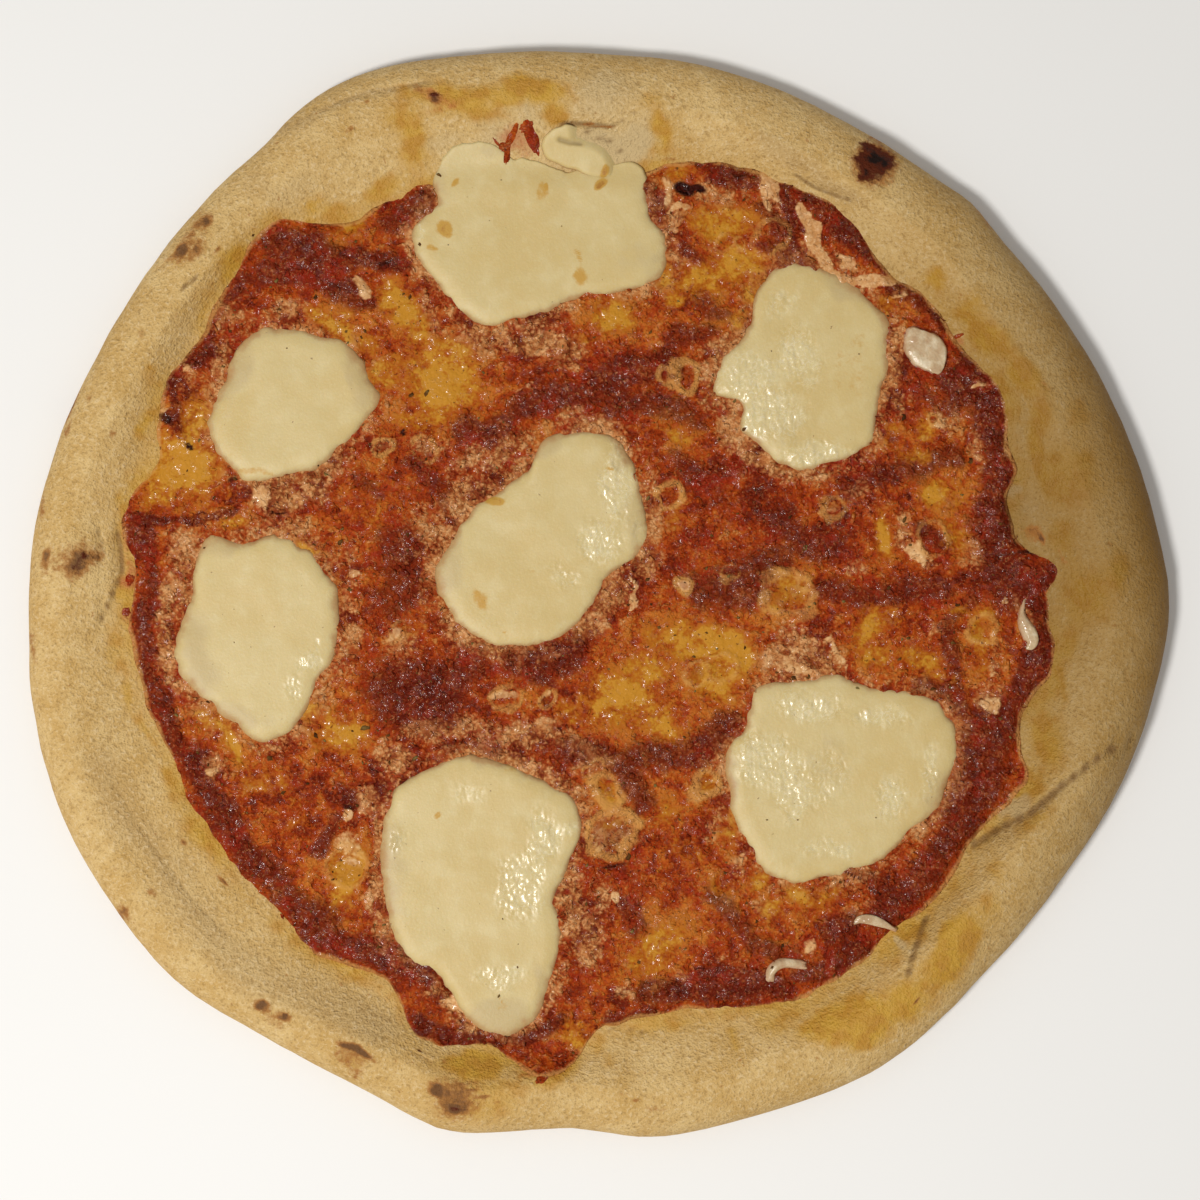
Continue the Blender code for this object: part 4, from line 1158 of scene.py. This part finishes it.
melted = {
    "gridSteps": 92,
    "curdSteps": 34,
    "sink": 0.6,  # how far the edge sinks into the sauce
    "edge": 0.3,  # height of the rounded edge
    "tall": 1.2,
    "curdTall": 1.6,
    "slope": 5.0,  # how far in the slice keeps rising
    "roundOver": 2.6,  # how far in the edge is rounded
    "smallRoundOver": 0.9,
    "swell": (13, 0.8),  # lumps: size and depth
    "dimples": (3.4, 0.6),
    "unevenEdge": ((1.0, 6.0), (0.4, 2.4), (0.15, 1.2)),
}

cheeseStains = (
    (-41, 96.4, 4.6, 4, 1), (-37, 106, 2.6, 2, 0.9), (-14, 106, 4.4, 7, 0.62),
    (-12.6, 107, 1.6, 2.6, 0.8), (0.3, 111, 3, 3.6, 1.1), (0.3, 107.6, 3, 3.6, 1.1), (-5, 84, 4, 5, 0.8),
    (-5, 88, 2, 3, 0.75), (-44.4, 90.4, 2.4, 1.8, 0.8), (3, 33.5, 2.6, 1.8, -20, 0.95),
    (-27, 24.4, 6, 3, -15, 0.98), (-30, 26, 4, 2, 30, 0.6), (-31, -2, 7, 5, -20, 0.72),
    (-30, -2.6, 3, 2, 0.9), (-24, -10, 1.2, 2.4, 30, 0.95), (-17, 5.5, 3, 1.4, -30, 0.6),
    (-20, -11, 3, 1.2, 20, 0.5), (-42, -58.5, 2.2, 2.2, 0.9), (-25, -107, 4, 3, 0.6),
    (-26, -105, 1.2, 1.6, 1), (-90, 31, 14, 3, 0.6), (66, 60, 16, 24, 0.42), (-20, 90, 30, 14, 10, 0.3),
    (-40, -93, 3, 3, 0.4), (-22, -46, 6, 2, -10, 0.6),
)  # fmt: skip
cheeseWet = (
    (46, 47, 17, 12, -20, 1.1), (40, 57, 13, 13, 1), (52, 62, 12, 18, 0.8), (47, 76, 9, 9, 0.6),
    (57, 37, 20, 7, 0.95), (5, 30, 8, 24, 1), (1, 14, 10, 12, 45, 0.9), (-8, 4, 9, 8, 0.7),
    (10, 17, 4, 6, 1), (42, -42, 14, 14, 0.95), (50, -50, 9, 18, 1), (76, -54, 9, 13, 0.9),
    (57, -48, 20, 18, 30, 0.62), (56, -30, 20, 9, 0.85), (74, -33, 18, 7, 0.8), (86, -48, 6, 18, 0.8),
    (60, -67, 16, 7, 0.8), (-15, -66, 9, 20, 1.1), (-20, -77, 13, 16, 0.95), (-76, -18, 6, 7, 1),
    (-79, -25, 6, 6, 0.75), (-53, -66, 4, 7, 1), (-26, -100, 14, 5, 0.7), (-34, -52, 9, 9, 0.5),
    (-47, 95, 3, 5, 0.8), (-74, -13, 2, 5, 0.9), (30, 57, 6, 9, 0.8), (-8, -60, 6, 5, 0.7),
)  # fmt: skip
thinCheese = (  # where a slice is thin, grey and lets through what is under it
    (-42, 107, 6, 11, 20, 0.7), (9, 88, 14, 9, 30, 0.5), (-63, 57, 6, 20, 20, 0.85),
    (-96, 57, 9, 22, -20, 0.9), (-86, 69, 14, 5, 0.6), (-98, 12, 14, 6, 0.85),
    (-93, -33, 15, 8, -20, 0.9), (-69, -6, 4, 18, 0.5), (6, 36, 9, 9, 0.6), (9, 18, 6, 16, 10, 0.7),
    (-55, -73, 9, 32, 4, 0.95), (-40, 10, 9, 34, 0.85), (-104, -16, 9, 30, 8, 0.85),
    (88, -56, 8, 20, 0.8), (64, 80, 14, 7, -30, 0.7), (76, 66, 7, 14, 10, 0.8), (-28, -42, 24, 6, 0.7),
    (-53.5, -73, 3.4, 2.6, 1.3), (-26, -111, 16, 12, 1.5), (-15, -103, 5, 16, 1), (33, -50, 6, 14, 1),
    (-16, 38, 14, 6, 20, 0.9), (60, -44, 14, 16, 0.55), (43, -30, 12, 10, 0.4), (50, 42, 15, 8, 0.5),
    (-28, 115, 12, 5, 0.6), (14, 86, 5, 10, 0.5),
)  # fmt: skip
curdPaths = {  # x, y and width along the middle
    "curd_upper_right": (81.6, 70, 5.5, 83.6, 67, 8.6, 86.4, 63.4, 10, 88.2, 59.6, 8.4, 89.4, 55.8, 5.4),
    "curd_right": (
        111.4, -1.4, 1.4, 110.4, -4.4, 2, 110.6, -7, 2.8, 112.6, -9.6, 3.8, 114.2, -12.4, 4,
        112.4, -14.6, 3.4, 109.8, -14.4, 2.2,
    ),
    "curd_lower": (45, -101.4, 3.6, 45, -98.8, 2.6, 47.2, -96.6, 2.8, 50.6, -96.2, 3, 54.8, -97.2, 2.8),
    "curd_lower_right": (66.2, -87, 3, 67.8, -84.9, 3, 71, -84.9, 3.6, 74.4, -86.2, 3.4, 78, -87.8, 3.2),
}  # fmt: skip


def alongPath(name, u, v):  # lays a round drawn at the origin along a curd's middle line
    path = np.array(curdPaths[name], float).reshape(-1, 3)
    where = (u + 1) / 2 * (len(path) - 1)
    at = np.arange(len(path))
    fine = np.linspace(0, len(path) - 1, 61)
    line = np.column_stack([np.interp(fine, at, path[:, k]) for k in range(3)])
    for _ in range(60):
        line[1:-1] = (line[:-2] + 2 * line[1:-1] + line[2:]) / 4
    px, py, width = (np.interp(where, fine, line[:, k]) for k in range(3))
    dx, dy = (np.interp(where, fine, np.gradient(line[:, k])) for k in (0, 1))
    across = v * width / 2 / np.hypot(dx, dy)
    return px - dy * across, py + dx * across, width


def groundAt(x, y):  # height of the sauce, or of the dough beyond it
    rim = doughTop(np.hypot(x, y), turnOf(x, y)) + 0.1
    blend = np.clip(0.5 + (rim - sauceTop) / 4, 0, 1)
    return sauceTop + (rim - sauceTop) * blend + 2 * blend * (1 - blend)


def makeSlice(name, seed, finish):
    shape = shapes[name]
    isCurd, isThin = name in curds, name == "mozzarella_fold"
    piece, u, v = roundGrid(name + "_melted", melted["curdSteps"] if isCurd else melted["gridSteps"])
    turn, share = turnOf(u, v), np.hypot(u, v)
    even = readRound(evenOut(shape["edge"], 1), turn)
    jag = unevenEdge(turn, even, seed * 7, melted["unevenEdge"]) * (1.7 if isCurd else 1)
    jag = (jag + readRound(shape["edge"], turn) - even) * smoothStep(0.75, 1, share)
    x, y = atTurn((even + 0.4) * share + jag, turn)
    x, y = shape["centre"][0] + x, shape["centre"][1] + y
    inFrom = even * (1 - share)
    small = min(1.0, float(even.min()) / 14)
    if isCurd:
        x, y, width = alongPath(name, u * (1 + jag / even), v * (1 + jag / even))
        inFrom = width / 2 * (1 - share)
        small = 0.3
    ground = groundAt(x, y)
    tall = melted["curdTall" if isCurd else "tall"]
    lip = melted["edge"] * (2.4 if isThin else 1)
    roundOver = melted["smallRoundOver" if isCurd or isThin else "roundOver"]
    rounded = np.sqrt(1 - (1 - np.clip(inFrom / roundOver, 0, 1)) ** 2)
    rise = (lip + melted["sink"]) * rounded + (tall - lip) * smoothStep(-2, melted["slope"] * small, inFrom)
    standing = np.ones_like(x)  # 0 where the cheese runs out level with the dough
    if isThin:
        standing = smoothStep(9.0, 5.0, lineDistance(x, y, foldLip))
        rise -= 0.6 * bell(lineDistance(x, y, foldCrease), 0.6)
    if name == "mozzarella_top":
        standing = 1 - 0.85 * smoothStep(105, 113, y)
    level = melted["sink"] - (1.0 if isThin else 0.0)
    height = ground - melted["sink"] + rise * standing + level * (1 - standing)
    setPoints(piece, np.column_stack((x, y, height)))
    roughen(piece, *melted["swell"], rounded, 1, "Z")
    wx, wy = wander(x, y)
    wet, thinness = patchField(wx, wy, cheeseWet), patchField(wx, wy, thinCheese)
    border = smoothStep(6, 1, inFrom)
    dimpled = rounded * np.clip(0.1 + 0.6 * wet + 0.1 * border, 0, 1)
    roughen(piece, *melted["dimples"], dimpled, 0, "Z")
    rimWidth = 0.7 if isCurd or isThin else 3.2 + 4 * np.clip(thinness, 0, 1)
    storeFields(piece, {
        "stain": patchField(wx, wy, cheeseStains),
        # where the fold's crease lies, for its painted shade
        "fold": bell(lineDistance(x, y, foldCrease), 0.7),
        "wet": np.full_like(x, 0.9) if isCurd else np.maximum(wet, 0.1 * border),
        "thin": thinness,
        "edge": (1 - smoothStep(0, 1, inFrom / rimWidth)) * standing,
    })  # fmt: skip
    closeBelow(piece, float(ground.min()) - melted["sink"] - 1.2, 0.985)
    finishPiece(piece, finish, name)
    return piece


def cheeseFinish():
    paint = Finish("meltedCheese", {
        "cream": (205, 184, 129), "butter": (202, 178, 119), "white": (215, 199, 152),
        "paintedGleam": (228, 216, 182), "stain": (190, 144, 52), "rust": (160, 104, 34), "speck": (110, 66, 24),
        "thin": (188, 166, 118), "creaseShade": (140, 118, 80), "edgeGlassAndShade": (176, 132, 82),
    })  # fmt: skip
    soft = paint.noise(5, 4)
    fine = paint.noise(1.4, 4, 0.65)
    pores = paint.noise(0.7, 3)
    wet = paint.field("wet")
    tone = paint.add(paint.noise(20, 2), paint.sum((soft, 0.2)))
    paint.base = paint.ramp(tone, (0.38, "butter"), (0.58, "cream"))
    paint.over("white", paint.step(soft, 0.48, 0.72, 0, 0.32))
    paint.over("white", paint.step(pores, 0.55, 0.75, 0, 0.25))
    paint.over("white", paint.step(paint.level("wet", (soft, 1.2)), 0.3, 1.0, 0, 0.62))
    # painted highlight: thin pale veins on the wet parts, as glints
    glintVeins = paint.thread(paint.noise(1.9, 2, 0.5, 1.2), 0.05)
    paint.over("paintedGleam", glintVeins, paint.step(wet, 0.2, 0.9, 0.06, 0.6))
    paint.over("thin", paint.mask("thin", 0.35, 0.6, (soft, 0.9)), 0.7)
    # painted shade: the fold's crease drawn grey brown, as the shade in it
    paint.over("creaseShade", paint.field("fold"), 0.6)
    jitter = (soft, 1.0), (fine, 0.5)
    paint.over("thin", paint.mask("edge", 0.4, 0.62, *jitter), 0.6)
    # partly real and partly painted: the border thins to a brownish see-through edge over the sauce, also
    # drawn as a painted shade line along the slice's edge
    paint.over("edgeGlassAndShade", paint.mask("edge", 0.25, 0.84, *jitter), 0.75)
    stain = paint.level("stain", (fine, 0.8), (soft, 0.3))
    paint.over("stain", paint.step(stain, 0.36, 0.8, 0, 0.9))
    paint.over("rust", paint.step(stain, 0.9, 1.2, 0, 0.75))
    paint.over("speck", paint.step(paint.noise(1.2, 2), 0.755, 0.77), 0.6)
    damp = paint.step(wet, 0.1, 1.0, 0.08, 1.0)
    streaked = paint.stretched((1.25, 0.85, 1))
    paint.bump(paint.noise(3.0, 1, place=streaked), 0.8, damp)
    paint.bump(paint.noise(1.3, 0, place=streaked), 0.22, damp)
    paint.bump(pores, 0.15, 0.5)
    return paint.close(
        Roughness=paint.step(wet, 0.2, 0.8, 0.48, 0.17),
        Specular_IOR_Level=0.38,
        Subsurface_Weight=0.2,
        Subsurface_Radius=(1.0, 0.75, 0.4),
        Subsurface_Scale=2.0 * mm,
    )


def curdFinish():
    paint = Finish("whiteCurd", {
        "skin": (182, 150, 114), "cloudy": (198, 174, 138), "white": (218, 202, 172), "rim": (176, 122, 84),
    })  # fmt: skip
    cloudy = paint.noise(3.4, 4)
    paint.base = paint.ramp(cloudy, (0.35, "skin"), (0.5, "cloudy"), (0.66, "white"))
    paint.over("rim", paint.mask("edge", 0.3, 0.6, (cloudy, 0.9)), 0.5)
    paint.bump(paint.noise(2.6, 2), 0.8, 0.8)
    return paint.close(
        Roughness=paint.step(cloudy, 0.3, 0.7, 0.16, 0.36),
        Subsurface_Weight=0.25,
        Subsurface_Radius=(1.0, 0.8, 0.6),
        Subsurface_Scale=1.5 * mm,
    )


def makeToppings():
    cheese, white = cheeseFinish(), curdFinish()
    named = enumerate(slices + curds, 11)
    pieces = [makeSlice(name, seed, white if name in curds else cheese) for seed, name in named]
    print("cheese:", len(pieces), "pieces")
    return pieces


# dried oregano

herb = {
    "kinds": 6,
    "small": 420,  # how many small flakes lie between the big ones
    "smallSize": (0.4, 0.9),  # the least, and what chance adds to it
    "onCheese": 0.06,  # the share kept on the slices
    "seed": 29,
    "thick": 0.1,
    "shrink": 0.6,  # the big ones are drawn this much smaller than they are listed
    "sink": 0.08,
}
bigFlakes = (  # x, y, length, turn
    (-61, -35, 4.5, 5), (-74, -37, 3, -60), (-71.6, -38.5, 1.8, -50), (-86, -43, 3.4, -10),
    (-82.5, -52, 3, 40), (-76, -49.6, 2, 0), (-57.5, -92.2, 3, 0), (33, -73, 2.4, 0),
    (55, -21.6, 2.6, 70), (51, -22, 3, -5), (67.6, -24.6, 2.4, -10), (79.8, 46.2, 3.6, 80),
    (80, 19.4, 3.2, 60), (105, 18.3, 2.4, 0), (97.4, 35, 3.6, 85), (75.6, 1.6, 3, 30),
    (-67.6, 13.4, 4, 60), (-67, 17, 2.2, 30), (-107, 39, 2, -40), (-49.3, 77.6, 2.4, 80),
    (-84, 82, 3, 60), (29.6, 15.2, 2.2, 0), (28.2, 6.6, 2.6, 70), (34, 4.6, 2, 40), (13, 3.8, 3, 10),
    (13, 25, 2.6, 70), (9, -88, 2.6, 60), (48, -92, 2.6, 80), (22.4, -37.4, 2.2, -30),
    (31, -14.4, 1.6, 0), (-41.6, 109.4, 2.6, -35), (-26, -105, 1.8, 70), (-65, 1, 3, -30),
    (54, 12, 3.4, 75), (50, 20, 2.6, 60), (-55, -37, 2.4, 20), (-48, -43, 3.4, 40), (-41, -4, 2, 60),
    (8, -2.6, 2.4, 60), (105, -32.6, 2.6, 0), (92.6, -12.8, 3, 0), (81, -11.6, 2.4, 0),
    (87.5, -24.8, 2.8, 0), (-3, -71, 2, 60), (8, -68.6, 4, 62), (-33, -13, 1.8, 0), (38, 43, 3, 50),
    (35.6, 50.4, 2.4, 30), (-102, -28.2, 2, -30), (-74, 77.4, 3, 70), (-86.8, 90.6, 1.6, 30),
    (-90, 93.4, 1.8, 60), (14.4, -66, 1.2, 0), (52, -59, 1, 0), (-71, 31, 3.4, -60), (-95, 30, 2.4, -20),
    (-62, 67, 1.8, -60), (-66, 68.6, 1.8, 60), (43, -10, 1.6, 0), (44, -59, 1.2, 0), (20, -10.8, 1.4, 0),
    (38, 103, 2, 60), (30, 57, 1.6, -60), (-46, 15, 1.6, 50), (-83.5, 74.5, 2, 0), (-95.5, 73, 1.2, 0),
    (-108, 4, 1.6, 80), (-103, 12, 1.4, 20), (94, -3, 2.6, 0), (64, -2, 2, 0), (-25.4, 108, 0.9, 0),
    (-28.5, 97.4, 0.6, 0), (-9.6, 96, 0.7, 0), (68, 62.6, 0.9, 0), (-81.3, 64.1, 0.9, 0),
    (72.4, -58.4, 0.9, 0), (15, 106, 2, 70), (-49, 52, 3.2, 25), (-45, 52.6, 3.4, 55),
)  # fmt: skip


def flakeShape(number, dice):  # one torn scrap of leaf, a unit long
    name, add = "flake" + str(number), bpy.ops.mesh.primitive_circle_add
    piece = newPiece(name, add, vertices=9, radius=0.5, fill_type="TRIFAN")
    for vertex in piece.data.vertices:
        torn = dice.uniform(0.55, 1.15)
        vertex.co.x *= torn
        vertex.co.y *= torn * dice.uniform(0.5, 0.75)
        vertex.co.z = 0.1 * dice.uniform(-1, 1) + 0.5 * vertex.co.y**2
    bpy.ops.object.modifier_add(type="SOLIDIFY")
    piece.modifiers[-1].thickness = herb["thick"]
    bpy.ops.object.modifier_apply(modifier=piece.modifiers[-1].name)
    return piece


def makeHerbs(grounds):
    dice = random.Random(herb["seed"])
    kinds = [flakeShape(k, dice) for k in range(herb["kinds"])]
    places = []
    for k, (x, y, length, turn) in enumerate(bigFlakes):
        size = length * herb["shrink"]
        places.append((k % herb["kinds"], x, y, (size, size, max(size, 1.2) * 0.8), turn))

    def offCheese(x, y, chance):
        return (besideSlices(x, y) > 0.5) | (chance < herb["onCheese"])

    least, more = herb["smallSize"]
    for x, y in freePlaces(herb["seed"], herb["small"], offCheese):
        size = least + more * dice.random() ** 2
        places.append((dice.randrange(herb["kinds"]), x, y, (size, size, size), dice.uniform(0, 360)))
    piece = layDown("oreganoFlakes", kinds, grounds, places, herb["sink"])
    finishPiece(piece, herbFinish())
    print("oregano:", len(places), "flakes")


def herbFinish():
    paint = Finish("driedOregano", {"dark": (66, 38, 16), "brown": (98, 64, 28), "green": (124, 106, 60)})
    tone = paint.noise(3, 3)
    paint.base = paint.ramp(tone, (0.38, "dark"), (0.5, "brown"), (0.66, "green"))
    paint.bump(paint.noise(0.4, 2), 0.2, 0.7)
    return paint.close(Roughness=paint.step(tone, 0.3, 0.7, 0.5, 0.75), Specular_IOR_Level=0.04)


# floor, light and camera

studio = {
    "frameWidth": 315.0,  # what the camera takes in, at the height of the pizza's edge
    "frameCentre": (0.4, -1.6),
    "lens": 85.0,
    "keyTurn": 216.0,  # where the light comes from
    "keyClimb": 63.0,
    "keyDistance": 1300.0,
    "keySize": 270.0,
    "keyPower": 12.0,
    "sky": 0.41,
    "floor": ((0.83, 0.83, 0.82, 1), (0.85, 0.85, 0.84, 1)),
}


def makeFloor():
    floor = newPiece("floor", bpy.ops.mesh.primitive_plane_add, size=4, location=(0, 0, 0))
    paint = Finish("paleFloor", {})
    paint.look.update(zip(("shade", "light"), studio["floor"]))
    paint.base = paint.ramp(paint.noise(300, 2), (0.3, "shade"), (0.7, "light"))
    floor.data.materials.append(paint.close(Roughness=0.8))


def makeLight():
    (c, s), (far, high) = facing(studio["keyTurn"]), facing(studio["keyClimb"])
    aim = Vector((c * far, s * far, high))
    lamp = bpy.data.lights.new("key", "AREA")
    lamp.shape = "DISK"
    lamp.size = studio["keySize"] * mm
    lamp.energy = studio["keyPower"]
    lamp.color = (1.0, 0.98, 0.95)
    key = bpy.data.objects.new("key", lamp)
    key.location = aim * studio["keyDistance"] * mm
    key.rotation_euler = aim.to_track_quat("Z", "Y").to_euler()
    bpy.context.collection.objects.link(key)
    sky = bpy.data.worlds.new("softSky")
    sky.use_nodes = True
    sky.node_tree.nodes["Background"].inputs["Color"].default_value = (1, 0.97, 0.93, 1)
    sky.node_tree.nodes["Background"].inputs["Strength"].default_value = studio["sky"]
    bpy.context.scene.world = sky
    bpy.context.scene.view_settings.view_transform = "Standard"


def makeCamera():
    lens = bpy.data.cameras.new("camera")
    lens.lens = studio["lens"]
    lens.clip_start = 0.01
    camera = bpy.data.objects.new("camera", lens)
    above = studio["frameWidth"] * studio["lens"] / lens.sensor_width + dough["waist"]
    camera.location = (studio["frameCentre"][0] * mm, studio["frameCentre"][1] * mm, above * mm)
    bpy.context.collection.objects.link(camera)
    bpy.context.scene.camera = camera


makeFloor()
makeLight()
makeCamera()
doughPiece = makeDough()
saucePiece = makeSauce()
toppings = makeToppings()
makeBits(treesOf([saucePiece]))
makeDabs(treesOf([doughPiece] + toppings))
makeHerbs(treesOf([doughPiece, saucePiece] + toppings))
